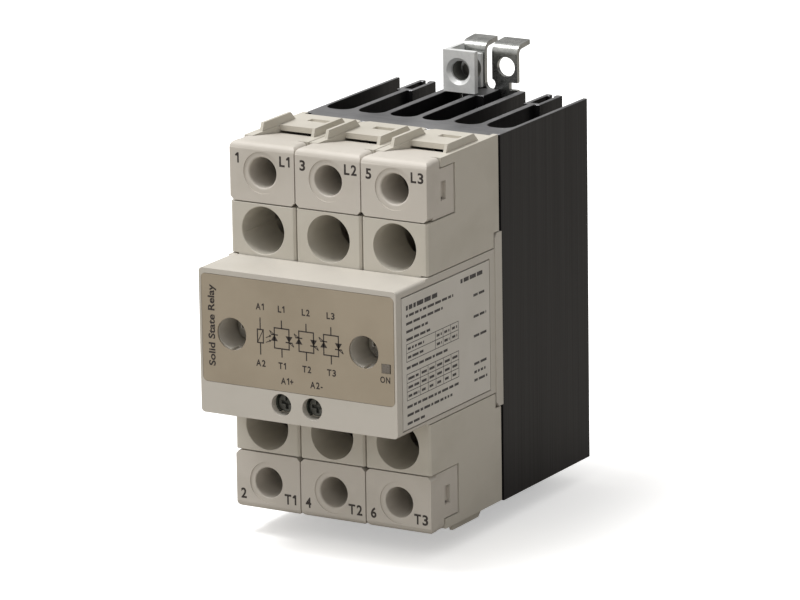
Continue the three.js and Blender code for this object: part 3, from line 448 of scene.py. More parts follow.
@dataclass(frozen=True)
class PrintedFilm(Finish):
    """A printed film or paper label with a faint orange-peel gloss."""

    colour: tuple[float, float, float] = (171, 159, 140)
    shade: tuple[float, float, float] = (163, 151, 132)
    matt: float = 0.4

    def dress(self, nodes: Nodes) -> None:
        """The film's tone drifts a little and its skin is slightly dimpled.

        Args:
            nodes: The material being made.
        """
        drift = nodes.noise((60, 60, 60), detail=3)
        nodes.paint(drift, [(0.35, self.shade), (0.65, self.colour)])
        peel = nodes.noise((1500, 1500, 1500), detail=2)
        nodes.roughen(drift, self.matt - 0.05, self.matt + 0.06)
        nodes.bump([(peel, 0.008, 0.5)])
        nodes.constant(IOR=1.5)


@dataclass(frozen=True)
class Ink(Finish):
    """Printing ink with slightly uneven cover."""

    colour: tuple[float, float, float] = (44, 38, 36)
    thin: tuple[float, float, float] = (70, 62, 58)

    def dress(self, nodes: Nodes) -> None:
        """Cover varies over tenths of a millimetre.

        Args:
            nodes: The material being made.
        """
        cover = nodes.noise((2200, 2200, 2200), detail=3)
        nodes.paint(cover, [(0.3, self.thin), (0.55, self.colour)])
        nodes.roughen(cover, 0.42, 0.58)
        nodes.bump([(cover, 0.004, 0.4)])


@dataclass(frozen=True)
class CircuitLacquer(Finish):
    """Green board lacquer over copper tracks."""

    colour: tuple[float, float, float] = (24, 84, 50)
    track: tuple[float, float, float] = (46, 122, 78)

    def dress(self, nodes: Nodes) -> None:
        """Tracks show as a paler, raised pattern of straight runs.

        Args:
            nodes: The material being made.
        """
        bricks = nodes.add("ShaderNodeTexBrick")
        bricks.inputs["Scale"].default_value = 1
        bricks.inputs["Color1"].default_value = linear(*self.colour)
        bricks.inputs["Color2"].default_value = linear(*self.colour)
        bricks.inputs["Mortar"].default_value = linear(*self.track)
        bricks.inputs["Mortar Size"].default_value = 0.06
        bricks.inputs["Brick Width"].default_value = 1.4
        bricks.inputs["Row Height"].default_value = 0.6
        nodes.link(nodes.stretched((300, 300, 300)), bricks.inputs["Vector"])
        nodes.link(bricks.outputs["Color"], nodes.shader.inputs["Base Color"])
        haze = nodes.noise((500, 500, 500), detail=3)
        nodes.roughen(haze, 0.28, 0.42)
        nodes.bump([(bricks.outputs["Fac"], 0.03, 0.5)])


@dataclass(frozen=True)
class Speckled(Finish):
    """A hard material with a fine two-tone speckle, such as ceramic, a chip or a lamp."""

    colour: tuple[float, float, float] = (236, 234, 226)
    speck: tuple[float, float, float] = (214, 211, 202)
    matt: float = 0.5
    metal: float = 0.0

    def dress(self, nodes: Nodes) -> None:
        """Specks are a third of a millimetre across.

        Args:
            nodes: The material being made.
        """
        specks = nodes.noise((2800, 2800, 2800), detail=3)
        nodes.paint(specks, [(0.35, self.speck), (0.55, self.colour)])
        nodes.roughen(specks, self.matt - 0.06, self.matt + 0.08)
        nodes.bump([(specks, 0.006, 0.4)])
        nodes.constant(Metallic=self.metal)


HOUSING_PLASTIC = MouldedPlastic("housing plastic", "housing")
CAP_PLASTIC = MouldedPlastic("cap plastic", "cap", colour=(204, 198, 189), grime=(192, 186, 176))
COVER_PLASTIC = MouldedPlastic("cover plastic", "housing", colour=(201, 196, 187), grime=(195, 190, 180))
TERMINAL_PLASTIC = MouldedPlastic(
    "terminal plastic", "terminal", colour=(92, 98, 90), grime=(80, 86, 78), matt=0.45,
)
FACEPLATE_FILM = PrintedFilm("faceplate film", "faceplate")
LABEL_FILM = PrintedFilm("label film", "label", colour=(214, 210, 203), shade=(206, 202, 194), matt=0.34)
PRINT_INK = Ink("print ink", "faceplate")
CAP_INK = Ink("cap ink", "cap")
LABEL_INK = Ink("label ink", "label", colour=(52, 49, 50), thin=(84, 80, 79))
ANODISED = BlackAnodised("black anodised aluminium", "heatsink")
SAWN = SawnAluminium("sawn aluminium", "heatsink")
ZINC = PlatedSteel("zinc plate", "zinc", colour=(186, 187, 184), shade=(148, 150, 149))
DULL_STEEL = PlatedSteel(
    "dull steel", "zinc", colour=(112, 113, 108), shade=(88, 89, 85), matt=0.42, metal=0.6,
)
NICKEL = PlatedSteel("nickel plate", "zinc", colour=(210, 208, 202), shade=(182, 181, 177), matt=0.33)
# Earth bracket plating: near-white with little metal, as painted reflection standing for the bright sheen
# that the plated front throws back.
ZINC_PAINTED_REFLECTION = PlatedSteel(
    "zinc plate with painted reflection", "zinc", colour=(236, 237, 236), shade=(218, 220, 220), matt=0.42, metal=0.15,
)
COPPER = BareMetal("copper", "copper")
BOARD = CircuitLacquer("board lacquer", "board")
CERAMIC = Speckled("alumina", "ceramic")
CHIP = Speckled("silicon", "chip", colour=(58, 60, 68), speck=(70, 73, 82), matt=0.28, metal=0.4)
LAMP = Speckled("lamp resin", "lamp", colour=(122, 115, 107), speck=(110, 103, 96), matt=0.3)


# ---------------------------------------------------------------- shaping

@dataclass(frozen=True)
class Round:
    """A round feature along Y whose facets are made finer: its axis, its radius and the splits of a facet."""

    x: float
    z: float
    radius: float
    splits: int = 3


Pick = Callable[[Vector, Vector], bool]


@dataclass(frozen=True)
class Softening:
    """One pass of edge rounding: its width, its steps and which edges it takes."""

    width: float
    steps: int = 2
    pick: Pick = lambda start, end: True


FINE = Softening(0.1)


def at_depth(y: float) -> Pick:
    """Picks the edges that lie at one Y.

    Args:
        y: The Y.

    Returns:
        The test.
    """
    return lambda start, end: abs(start.y - y) < TOUCH and abs(end.y - y) < TOUCH


def cad_copy(node: str) -> bmesh.types.BMesh:
    """A node's mesh, merged, with its flat faces whole again.

    Args:
        node: The node's name.

    Returns:
        The copy.
    """
    shape = bmesh.new()
    shape.from_mesh(frame["nodes"][node].data)
    bmesh.ops.remove_doubles(shape, verts=shape.verts, dist=MERGE)
    bmesh.ops.dissolve_limit(shape, angle_limit=FLAT_ANGLE, verts=shape.verts, edges=shape.edges)
    return shape


def make_round(shape: bmesh.types.BMesh, feature: Round) -> None:
    """Splits the facets of a round feature and moves the new points out to its radius.

    Args:
        shape: The mesh.
        feature: The round feature.
    """
    axis = Vector((feature.x, 0, feature.z)) * MM
    radius = feature.radius * MM

    def reach(point: Vector) -> float:
        """The distance of a point from the feature's axis."""
        return math.hypot(point.x - axis.x, point.z - axis.z)

    chords = []
    for edge in shape.edges:
        start, end = (vert.co for vert in edge.verts)
        level = abs(start.y - end.y) < TOUCH * MM
        on_rim = all(abs(reach(point) - radius) < TOUCH * MM for point in (start, end))
        if level and on_rim and edge.calc_length() < radius * LONGEST_CHORD:
            chords.append(edge)
    if not chords:
        return
    made = bmesh.ops.subdivide_edges(shape, edges=chords, cuts=feature.splits - 1, use_grid_fill=True)
    for item in made["geom_inner"]:
        if isinstance(item, bmesh.types.BMVert):
            distance = reach(item.co)
            if radius * DEEPEST_CHORD < distance < radius:
                item.co.x = axis.x + (item.co.x - axis.x) * radius / distance
                item.co.z = axis.z + (item.co.z - axis.z) * radius / distance


def soften(shape: bmesh.types.BMesh, softening: Softening) -> None:
    """Rounds the sharp edges that a softening picks.

    Args:
        shape: The mesh.
        softening: The pass.
    """
    edges = [
        edge for edge in shape.edges
        if edge.is_manifold
        and edge.calc_face_angle(0) > SHARP_ANGLE
        and softening.pick(edge.verts[0].co / MM, edge.verts[1].co / MM)
    ]
    if edges:
        bmesh.ops.bevel(
            shape, geom=edges, offset=softening.width * MM, offset_type="OFFSET", segments=softening.steps,
            profile=0.5, affect="EDGES", clamp_overlap=True, material=-1,
        )


def block(shape: bmesh.types.BMesh, low: Sequence[float], high: Sequence[float]) -> list[bmesh.types.BMVert]:
    """Adds a block between two corners.

    Args:
        shape: The mesh to add to.
        low: The lowest corner.
        high: The highest corner.

    Returns:
        The block's points.
    """
    low_corner, high_corner = Vector(low) * MM, Vector(high) * MM
    size = high_corner - low_corner
    place = Matrix.Translation((low_corner + high_corner) / 2) @ Matrix.Diagonal((*size, 1))
    return bmesh.ops.create_cube(shape, size=1, matrix=place)["verts"]


def publish(
    shape: bmesh.types.BMesh,
    name: str,
    body: str,
    finishes: Sequence[Finish],
    replaced: Sequence[str] = (),
) -> bpy.types.Object:
    """Turns a finished mesh into a piece that rides its body.

    Args:
        shape: The mesh, which is used up.
        name: The piece's name.
        body: The body that it rides.
        finishes: Its finishes, in the order of the faces' material numbers.
        replaced: The nodes that it stands for.

    Returns:
        The piece.
    """
    mesh = bpy.data.meshes.new(name)
    shape.to_mesh(mesh)
    shape.free()
    mesh.shade_smooth()
    mesh.set_sharp_from_angle(angle=SMOOTH_ANGLE)
    piece = bpy.data.objects.new(name, mesh)
    bpy.context.scene.collection.objects.link(piece)
    for finish in finishes:
        mesh.materials.append(finish.material())
    weighting = piece.modifiers.new("weighted normals", "WEIGHTED_NORMAL")
    weighting.keep_sharp = True
    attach(piece, body)
    if replaced:
        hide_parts(*replaced)
    log.info("%s: %d faces on %s", name, len(mesh.polygons), body)
    return piece


def dress_node(
    node: str,
    finish: Finish,
    rounds: Iterable[Round] = (),
    passes: Iterable[Softening] = (FINE,),
    change: Callable[[bmesh.types.BMesh], None] | None = None,
    finishes: Sequence[Finish] = (),
) -> bpy.types.Object:
    """Makes the finished form of a node and hides the plain one.

    Args:
        node: The node's name.
        finish: Its finish.
        rounds: Round features to make finer.
        passes: Edge rounding, in order.
        change: What else is done to the mesh before its edges are rounded.
        finishes: Further finishes, for faces that ask for them.

    Returns:
        The finished piece.
    """
    shape = cad_copy(node)
    for feature in rounds:
        make_round(shape, feature)
    if change is not None:
        change(shape)
    for softening in passes:
        soften(shape, softening)
    body = frame["nodes"][node]["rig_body"]
    return publish(shape, f"{node}_finished", body, (finish, *finishes), (node,))


# ---------------------------------------------------------------- print

@dataclass
class Print:
    """Flat marks on one face, gathered into one thin piece."""

    name: str
    body: str
    ink: Finish
    facing: Facing
    surface: float
    thickness: float = 0.02
    stroke: float = 0.31
    shape: bmesh.types.BMesh = field(default_factory=bmesh.new)

    def bar(self, start: tuple[float, float], end: tuple[float, float], width: float | None = None) -> None:
        """Draws a straight stroke.

        Args:
            start: Where it starts, along the reading direction and upward.
            end: Where it ends.
            width: Its width, or none for the print's own stroke.
        """
        first, last = Vector(start), Vector(end)
        along = (last - first).normalized()
        across = Vector((-along.y, along.x)) * (width or self.stroke) / 2
        self.patch([first + across, first - across, last - across, last + across])

    def patch(self, corners: Sequence[Vector]) -> None:
        """Fills an outline.

        Args:
            corners: Its corners.
        """
        verts = [self.shape.verts.new((corner[0] * MM, corner[1] * MM, 0)) for corner in corners]
        face = self.shape.faces.new(verts)
        if face.normal.z < 0:
            face.normal_flip()

    def frame(self, low: tuple[float, float], high: tuple[float, float], width: float | None = None) -> None:
        """Draws a rectangle in outline.

        Args:
            low: Its lower left corner.
            high: Its upper right corner.
            width: The stroke's width, or none for the print's own stroke.
        """
        half = (width or self.stroke) / 2
        for height in (low[1], high[1]):
            self.bar((low[0] - half, height), (high[0] + half, height), width)
        for across in (low[0], high[0]):
            self.bar((across, low[1] + half), (across, high[1] - half), width)

    def letters(self, words: str, weight: float = 0.0) -> bpy.types.Mesh:
        """Makes a line of type that starts at the origin, with capitals one unit high.

        Args:
            words: The line.
            weight: How much bolder than the font it is, in capital heights.

        Returns:
            The flat mesh.
        """
        curve = bpy.data.curves.new("type", "FONT")
        curve.body = words
        curve.size = 1 / FONT_CAPITAL
        curve.offset = weight
        curve.resolution_u = 4
        holder = bpy.data.objects.new("type", curve)
        mesh = bpy.data.meshes.new_from_object(holder)
        bpy.data.objects.remove(holder)
        bpy.data.curves.remove(curve)
        return mesh

    def set_between(self, words: str, left: float, right: float, foot: float, height: float) -> None:
        """Sets type so that it fills a width.

        Args:
            words: The type.
            left: Where it starts.
            right: Where it ends.
            foot: The height of its feet.
            height: The height of its capitals.
        """
        mesh = self.letters(words, PRINT_WEIGHT)
        ends = [vert.co.x for vert in mesh.vertices]
        start, width = min(ends), max(ends) - min(ends)
        scale = (right - left) / width
        size = Matrix.Diagonal((scale * MM, height * MM, 1, 1))
        place = Matrix.Translation(Vector((left - start * scale, foot, 0)) * MM)
        mesh.transform(place @ size)
        self.shape.from_mesh(mesh)
        bpy.data.meshes.remove(mesh)

    def figure_one(self, left: float, foot: float, height: float) -> None:
        """Draws a figure 1 as a stem with a flag.

        Args:
            left: Where its cell starts.
            foot: The height of its foot.
            height: Its height.
        """
        right = left + GLYPH_WIDTHS["1"] * height
        stem = right - ONE_STEM * height
        flag = foot + ONE_FLAG * height
        top = foot + height
        self.patch([Vector((stem, foot)), Vector((right, foot)), Vector((right, top)), Vector((stem, top))])
        thick = ONE_FLAG_THICKNESS * height
        flag_corners = ((left, flag), (stem, flag), (stem, top), (left, flag + thick))
        self.patch([Vector(corner) for corner in flag_corners])

    def text(self, words: str, centre: tuple[float, float], height: float) -> None:
        """Sets a short mark, one letter at a time.

        Args:
            words: The mark.
            centre: The middle of the mark.
            height: The height of its capitals.
        """
        widths = [GLYPH_WIDTHS.get(word, FIGURE_WIDTH) * height for word in words]
        gap = GLYPH_GAP * height
        left = centre[0] - (sum(widths) + gap * (len(words) - 1)) / 2
        foot = centre[1] - height / 2
        for word, width in zip(words, widths):
            if word == "1":
                self.figure_one(left, foot, height)
            else:
                self.set_between(word, left, left + width, foot, height)
            left += width + gap

    def publish(self) -> bpy.types.Object:
        """Gives the marks their thickness and lays them on their face.

        Returns:
            The piece.
        """
        self.shape.normal_update()
        bmesh.ops.remove_doubles(self.shape, verts=self.shape.verts, dist=MM / 1000)
        for face in self.shape.faces:
            face.normal_update()
            if face.normal.z < 0:
                face.normal_flip()
        made = bmesh.ops.extrude_face_region(self.shape, geom=list(self.shape.faces))
        lifted = [item for item in made["geom"] if isinstance(item, bmesh.types.BMVert)]
        bmesh.ops.translate(self.shape, verts=lifted, vec=(0, 0, self.thickness * MM))
        bmesh.ops.recalc_face_normals(self.shape, faces=self.shape.faces)
        outward = Vector(self.facing.value[2])
        sink = outward * (self.surface - self.thickness / 2) * MM
        self.shape.transform(Matrix.Translation(sink) @ self.facing.matrix())
        return publish(self.shape, self.name, self.body, (self.ink,))


# ---------------------------------------------------------------- housing and caps

@dataclass
class Poles:
    """The three pole housings with their power modules."""

    pitch: float = 18
    count: int = 3
    front: float = -78.6
    driver_height: float = 24
    driver_radius: float = 5.8
    tube_wall: float = 1.1
    screw_hole_radius: float = 2.8
    front_softening: Softening = field(init=False)

    def __post_init__(self) -> None:
        """Works out the pass that rounds the front edges."""
        self.front_softening = Softening(0.28, 3, at_depth(self.front))

    def centre(self, pole: int) -> float:
        """The X of a pole, counted from 1."""
        return (pole - (self.count + 1) / 2) * self.pitch

    def build(self) -> None:
        """Dresses the housings and what lies inside them."""
        for pole in range(1, self.count + 1):
            x = self.centre(pole)
            radii = (self.driver_radius, self.driver_radius + self.tube_wall, self.screw_hole_radius)
            rounds = [Round(x, end.sign * self.driver_height, radius) for end in End for radius in radii]
            dress_node(f"housing_pole_{pole}", HOUSING_PLASTIC, rounds, (self.front_softening, FINE))
            dress_node(f"spreader_{pole}", COPPER)
            dress_node(f"substrate_{pole}", CERAMIC)
            for end in End:
                dress_node(f"chip_{end.word}_{pole}", CHIP)


@dataclass(frozen=True)
class CapMarks:
    """The pair of marks on an end's caps: the first figure, the letter, and where each stands."""

    first: int
    letter: str
    figure_place: tuple[float, float]
    letter_place: tuple[float, float]


CAP_MARKS = {
    End.LINE: CapMarks(1, "L", (-6.8, 41.1), (6.3, 41.4)),
    End.LOAD: CapMarks(2, "T", (-6.9, -41.3), (6.1, -41.3)),
}


@dataclass
class TerminalCap:
    """One removable terminal cap with its pair of marks."""

    end: End
    pole: int
    x: float
    front: float = -78.6
    hole_height: float = 38
    hole_radius: float = 3.7
    tube_wall: float = 1.2
    ring_radius: float = 5.1
    ring_sink: float = 0.25
    half_width: float = 8.85
    tab_step: float = 0.25
    window_depths: tuple[float, float] = (6.9, 9.3)
    window_heights: tuple[float, float] = (34.6, 39.2)
    nub_sink: float = 0.9
    nub_thickness: float = 0.5
    nub_setback: float = 0.75
    nub_overrun: float = 0.1
    nub_margin: float = 0.5
    mark_size: float = 2.5

    def rims(self) -> list[Round]:
        """The round features of the cap's wire way.

        Returns:
            The wire way, the ring round its mouth and its tube.
        """
        height = self.end.sign * self.hole_height
        radii = (self.hole_radius, self.ring_radius, self.hole_radius + self.tube_wall)
        return [Round(self.x, height, radius) for radius in radii]

    def near_hole(self, start: Vector, end: Vector) -> bool:
        """Whether an edge is the mouth of the wire way.

        Args:
            start: The edge's first point.
            end: The edge's second point.

        Returns:
            True if it is.
        """
        centre = Vector((self.x, 0, self.end.sign * self.hole_height))
        reach = max(math.hypot(point.x - centre.x, point.z - centre.z) for point in (start, end))
        return reach < self.hole_radius + TOUCH and at_depth(self.front + self.ring_sink)(start, end)

    def outline(self, start: Vector, end: Vector) -> bool:
        """Whether an edge is on the outline of the cap's front.

        Args:
            start: The edge's first point.
            end: The edge's second point.

        Returns:
            True if it is.
        """
        centre = Vector((self.x, 0, self.end.sign * self.hole_height))
        reach = min(math.hypot(point.x - centre.x, point.z - centre.z) for point in (start, end))
        return reach > self.ring_radius + TOUCH and at_depth(self.front)(start, end)

    def add_nubs(self, shape: bmesh.types.BMesh) -> None:
        """Adds the snap nub that shows in each side window.

        Args:
            shape: The mesh.
        """
        low, high = (self.end.sign * height for height in self.window_heights)
        bottom, top = min(low, high), max(low, high)
        fore, rear = (self.front + depth for depth in self.window_depths)
        outer = self.half_width - self.tab_step - self.nub_sink
        for side in Side:
            near = self.x + side.sign * outer
            far = near - side.sign * self.nub_thickness
            block(
                shape,
                (min(near, far), fore + self.nub_setback, bottom + self.nub_margin),
                (max(near, far), rear + self.nub_overrun, top - self.nub_margin),
            )

    def build(self) -> None:
        """Dresses the cap and prints its marks."""
        node = f"cap_{self.end.word}_{self.pole}"
        mouth = Softening(0.45, 4, self.near_hole)
        outline = Softening(0.32, 3, self.outline)
        dress_node(node, CAP_PLASTIC, self.rims(), (mouth, outline, FINE), self.add_nubs)
        marks = Print(f"{node}_marks", node, CAP_INK, Facing.FRONT, -self.front)
        pair = CAP_MARKS[self.end]
        figure = str(pair.first + 2 * (self.pole - 1))
        letter = f"{pair.letter}{self.pole}"
        for words, (across, height) in ((figure, pair.figure_place), (letter, pair.letter_place)):
            marks.text(words, (self.x + across, height), self.mark_size)
        marks.publish()


# ---------------------------------------------------------------- terminals

def thread(
    shape: bmesh.types.BMesh,
    axis: tuple[float, float],
    radius: float,
    span: tuple[float, float],
    pitch: float,
) -> None:
    """Winds a screw thread round an axis along Y.

    Args:
        shape: The mesh to add to.
        axis: The X and Z of the axis.
        radius: The thread's root radius.
        span: The Y where it starts and ends.
        pitch: The rise of one turn.
    """
    x, z = axis
    y = span[0]
    root = radius - THREAD_SINK
    profile = [
        (root, y), (radius + pitch * THREAD_DEPTH, y + pitch * THREAD_CREST), (root, y + pitch * THREAD_FOOT),
    ]
    verts = [shape.verts.new(Vector((x + reach, along, z)) * MM) for reach, along in profile]
    face = shape.faces.new(verts)
    turns = (span[1] - span[0] - pitch) / pitch
    bmesh.ops.spin(
        shape,
        geom=[face, *face.edges, *face.verts],
        cent=Vector((x, y, z)) * MM,
        axis=(0, 1, 0),
        dvec=Vector((0, pitch / THREAD_STEPS, 0)) * MM,
        angle=turns * math.tau,
        steps=round(turns * THREAD_STEPS),
        use_duplicate=False,
    )
    bmesh.ops.recalc_face_normals(shape, faces=shape.faces)


@dataclass
class PowerTerminal:
    """One power terminal: its screw, washer and copper lead."""

    end: End
    pole: int
    x: float
    height: float = 24
    head_front: float = -63
    head_thickness: float = 3.2
    head_radius: float = 4.5
    head_taper: float = 0.4
    shank_radius: float = 2.5
    shank_rear: float = -50.4
    pitch: float = 0.8
    hole_radius: float = 2.8

    def build(self) -> None:
        """Dresses the terminal's pieces."""
        z = self.end.sign * self.height
        rounds = [
            Round(self.x, z, self.head_radius),
            Round(self.x, z, self.head_radius - self.head_taper),
            Round(self.x, z, self.shank_radius),
        ]
        brim = Softening(0.4, 3, at_depth(self.head_front))
        screw = f"screw_{self.end.word}_{self.pole}"
        dress_node(screw, NICKEL, rounds, (brim, FINE))
        ridge = bmesh.new()
        start = self.head_front + self.head_thickness
        thread(ridge, (self.x, z), self.shank_radius, (start, self.shank_rear), self.pitch)
        publish(ridge, f"{screw}_thread", screw, (NICKEL,))
        hole = [Round(self.x, z, self.hole_radius)]
        dress_node(f"clamp_{self.end.word}_{self.pole}", ZINC, hole)
        dress_node(f"lead_{self.end.word}_{self.pole}", COPPER, hole)


# ---------------------------------------------------------------- front

@dataclass
class FrontCover:
    """The front cover with its faceplate, label, lamp and board."""

    front: float = -93.5
    half_width: float = 26.85
    half_height: float = 17.65
    access_x: float = 18
    access_height: float = 2.3
    access_radius: float = 3.9
    access_wall: float = 1.2
    plate_hole_radius: float = 4.4
    plate_rim_radius: float = 3.97
    window_gap: float = 0.24
    faceplate_gap: float = 0.2
    faceplate_half_width: float = 25.95
    faceplate_low: float = -9.7
    faceplate_high: float = 16.1
    control_x: tuple[float, float] = (-4.7, 3.7)
    control_height: float = -13.3
    control_radius: float = 2.7
    outer_softening: float = 0.75
    outer_band: float = 1.05
    faceplate_band: float = 1.5

    def outer_edge(self, start: Vector, end: Vector) -> bool:
        """Whether an edge is on the outline of the cover's front.

        Args:
            start: The edge's first point.
            end: The edge's second point.

        Returns:
            True if it is.
        """
        outside = all(
            abs(point.x) > self.half_width - self.outer_band
            or abs(point.z) > self.half_height - self.outer_band
            for point in (start, end)
        )
        return outside and at_depth(self.front)(start, end)

    def control_rim(self, start: Vector, end: Vector) -> bool:
        """Whether an edge is the mouth of a control terminal.

        Args:
            start: The edge's first point.
            end: The edge's second point.

        Returns:
            True if it is.
        """
        near = all(abs(point.z - self.control_height) < self.control_radius + TOUCH for point in (start, end))
        return near and at_depth(self.front)(start, end)

    def widen_faceplate(self, shape: bmesh.types.BMesh) -> None:
        """Closes the faceplate's fitting gap, so that it lies in the cover like a sticker.

        Args:
            shape: The mesh.
        """
        band = self.faceplate_band
        for vert in shape.verts:
            x, z = vert.co.x / MM, vert.co.z / MM
            if abs(x) > self.faceplate_half_width - band:
                vert.co.x += math.copysign(self.faceplate_gap * MM, x)
            if z > self.faceplate_high - band:
                vert.co.z += self.faceplate_gap * MM
            if z < self.faceplate_low + band:
                vert.co.z -= self.faceplate_gap * MM
            for side in Side:
                self.close_rim(vert, side.sign * self.access_x)

    def close_rim(self, vert: bmesh.types.BMVert, centre: float) -> None:
        """Brings a point of an access hole's edge in to the edge of the hole in the cover.

        Args:
            vert: The point.
            centre: The X of the hole's axis.
        """
        out = Vector((vert.co.x - centre * MM, 0, vert.co.z - self.access_height * MM))
        if abs(out.length - self.plate_hole_radius * MM) < TOUCH * MM:
            vert.co += out * (self.plate_rim_radius / self.plate_hole_radius - 1)

    def fill_window(self, shape: bmesh.types.BMesh) -> None:
        """Widens the light pipe until it fills its square window.

        Args:
            shape: The mesh.
        """
        middle = sum((vert.co for vert in shape.verts), Vector()) / len(shape.verts)
        for vert in shape.verts:
            vert.co.x += math.copysign(self.window_gap * MM, vert.co.x - middle.x)
            vert.co.z += math.copysign(self.window_gap * MM, vert.co.z - middle.z)

    def build(self) -> None:
        """Dresses the cover and what it carries."""
        access = [
            Round(side.sign * self.access_x, self.access_height, radius)
            for side in Side
            for radius in (self.access_radius, self.access_radius + self.access_wall, self.plate_hole_radius)
        ]
        controls = [Round(x, self.control_height, self.control_radius) for x in self.control_x]
        outer = Softening(self.outer_softening, 4, self.outer_edge)
        rims = Softening(0.3, 3, self.control_rim)
        dress_node("front_cover", COVER_PLASTIC, access + controls, (outer, rims, FINE))
        plate_edge = Softening(0.06)
        dress_node("faceplate", FACEPLATE_FILM, access, (plate_edge,), self.widen_faceplate)
        dress_node("side_label", LABEL_FILM, (), (Softening(0.05),))
        dress_node("lamp", LAMP)
        dress_node("light_pipe", LAMP, (), (FINE,), self.fill_window)
        dress_node("control_board", BOARD)


@dataclass
class FaceplatePrint:
    """The marks and the circuit on the faceplate."""

    front: float = -93.5
    name_x: float = -23.6
    name_middle: float = 3.9
    name_size: float = 1.8
    name_length: float = 19.8
    mark_size: float = 1.6
    top: float = 7.3
    bottom: float = -1.7
    coil_x: float = -10.1
    pair_x: tuple[float, ...] = (-4.25, 2.45, 9.2)
    pair_half_width: float = 2.0
    pair_high: float = 5.3
    pair_low: float = 0.4
    symbol_half_width: float = 0.95
    symbol_half_height: float = 0.75
    gate_reach: float = 1.3
    gate_rise: float = 0.9
    gate_tick: tuple[float, float] = (0.9, 0.15)
    thin_stroke: float = 0.2
    coil_half_width: float = 0.8
    coil_half_height: float = 1.6
    arrow_drops: tuple[float, ...] = (0.0, 1.15)
    arrow_tail: tuple[float, float] = (1.5, -0.2)
    arrow_tip: tuple[float, float] = (2.7, 0.35)
    arrow_head: tuple[tuple[float, float], ...] = ((0.35, 0.15), (-0.35, 0.25), (-0.1, -0.4))
    upper_row: float = 10.0
    lower_row: float = -3.7
    control_marks: tuple[tuple[str, tuple[float, float]], ...] = (("A1+", (-3.0, -7.3)), ("A2-", (5.0, -7.3)))
    lamp_mark: tuple[float, float] = (23.7, -3.6)
    lamp_mark_size: float = 1.5

    def thyristor(self, marks: Print, x: float, way: int) -> None:
        """Draws one thyristor.

        Args:
            marks: The print.
            x: The symbol's centre.
            way: 1 if it points up and -1 if it points down.
        """
        middle = (self.pair_high + self.pair_low) / 2
        half, tall = self.symbol_half_width, self.symbol_half_height
        base, apex = middle - way * tall, middle + way * tall
        marks.patch([Vector((x - half, base)), Vector((x + half, base)), Vector((x, apex))])
        marks.bar((x - half, apex), (x + half, apex))
        gate = (x - way * self.gate_reach, apex + way * self.gate_rise)
        tick = (x - way * self.gate_tick[0], apex + way * self.gate_tick[1])
        marks.bar((x, apex), gate, self.thin_stroke)
        marks.bar(tick, gate, self.thin_stroke)

    def pair(self, marks: Print, x: float) -> None:
        """Draws two thyristors back to back with their leads.

        Args:
            marks: The print.
            x: The pair's centre.
        """
        low = (x - self.pair_half_width, self.pair_low)
        high = (x + self.pair_half_width, self.pair_high)
        marks.frame(low, high)
        marks.bar((x, self.pair_high), (x, self.top))
        marks.bar((x, self.pair_low), (x, self.bottom))
        self.thyristor(marks, low[0], 1)
        self.thyristor(marks, high[0], -1)

    def coil(self, marks: Print) -> None:
        """Draws the control input, with two light arrows that point at the first pair.

        Args:
            marks: The print.
        """
        x = self.coil_x
        middle = (self.top + self.bottom) / 2
        half, tall = self.coil_half_width, self.coil_half_height
        marks.bar((x, self.top), (x, middle + tall))
        marks.bar((x, middle - tall), (x, self.bottom))
        marks.frame((x - half, middle - tall), (x + half, middle + tall))
        marks.bar((x - half, middle - tall), (x + half, middle + tall), self.thin_stroke)
        for drop in self.arrow_drops:
            ends = (self.arrow_tail, self.arrow_tip)
            tail, tip = (Vector((x + across, middle + rise - drop)) for across, rise in ends)
            marks.bar(tail, tip, self.thin_stroke)
            marks.patch([tip + Vector(corner) for corner in self.arrow_head])

    def build(self) -> None:
        """Prints the faceplate."""
        marks = Print("faceplate_marks", "root", PRINT_INK, Facing.FRONT, -self.front)
        rows = ((self.upper_row, "A1", "L1", "L2", "L3"), (self.lower_row, "A2", "T1", "T2", "T3"))
        for height, first, *rest in rows:
            marks.text(first, (self.coil_x, height), self.mark_size)
            for x, words in zip(self.pair_x, rest):
                marks.text(words, (x, height), self.mark_size)
        for words, place in self.control_marks:
            marks.text(words, place, self.mark_size)
        marks.text("ON", self.lamp_mark, self.lamp_mark_size)
        self.coil(marks)
        for x in self.pair_x:
            self.pair(marks, x)
        marks.publish()
        name = Print("faceplate_name", "root", PRINT_INK, Facing.FRONT_UPWARD, -self.front)
        foot = -self.name_x - self.name_size / 2
        half = self.name_length / 2
        name.set_between(
            "Solid State Relay", self.name_middle - half, self.name_middle + half, foot, self.name_size,
        )
        name.publish()


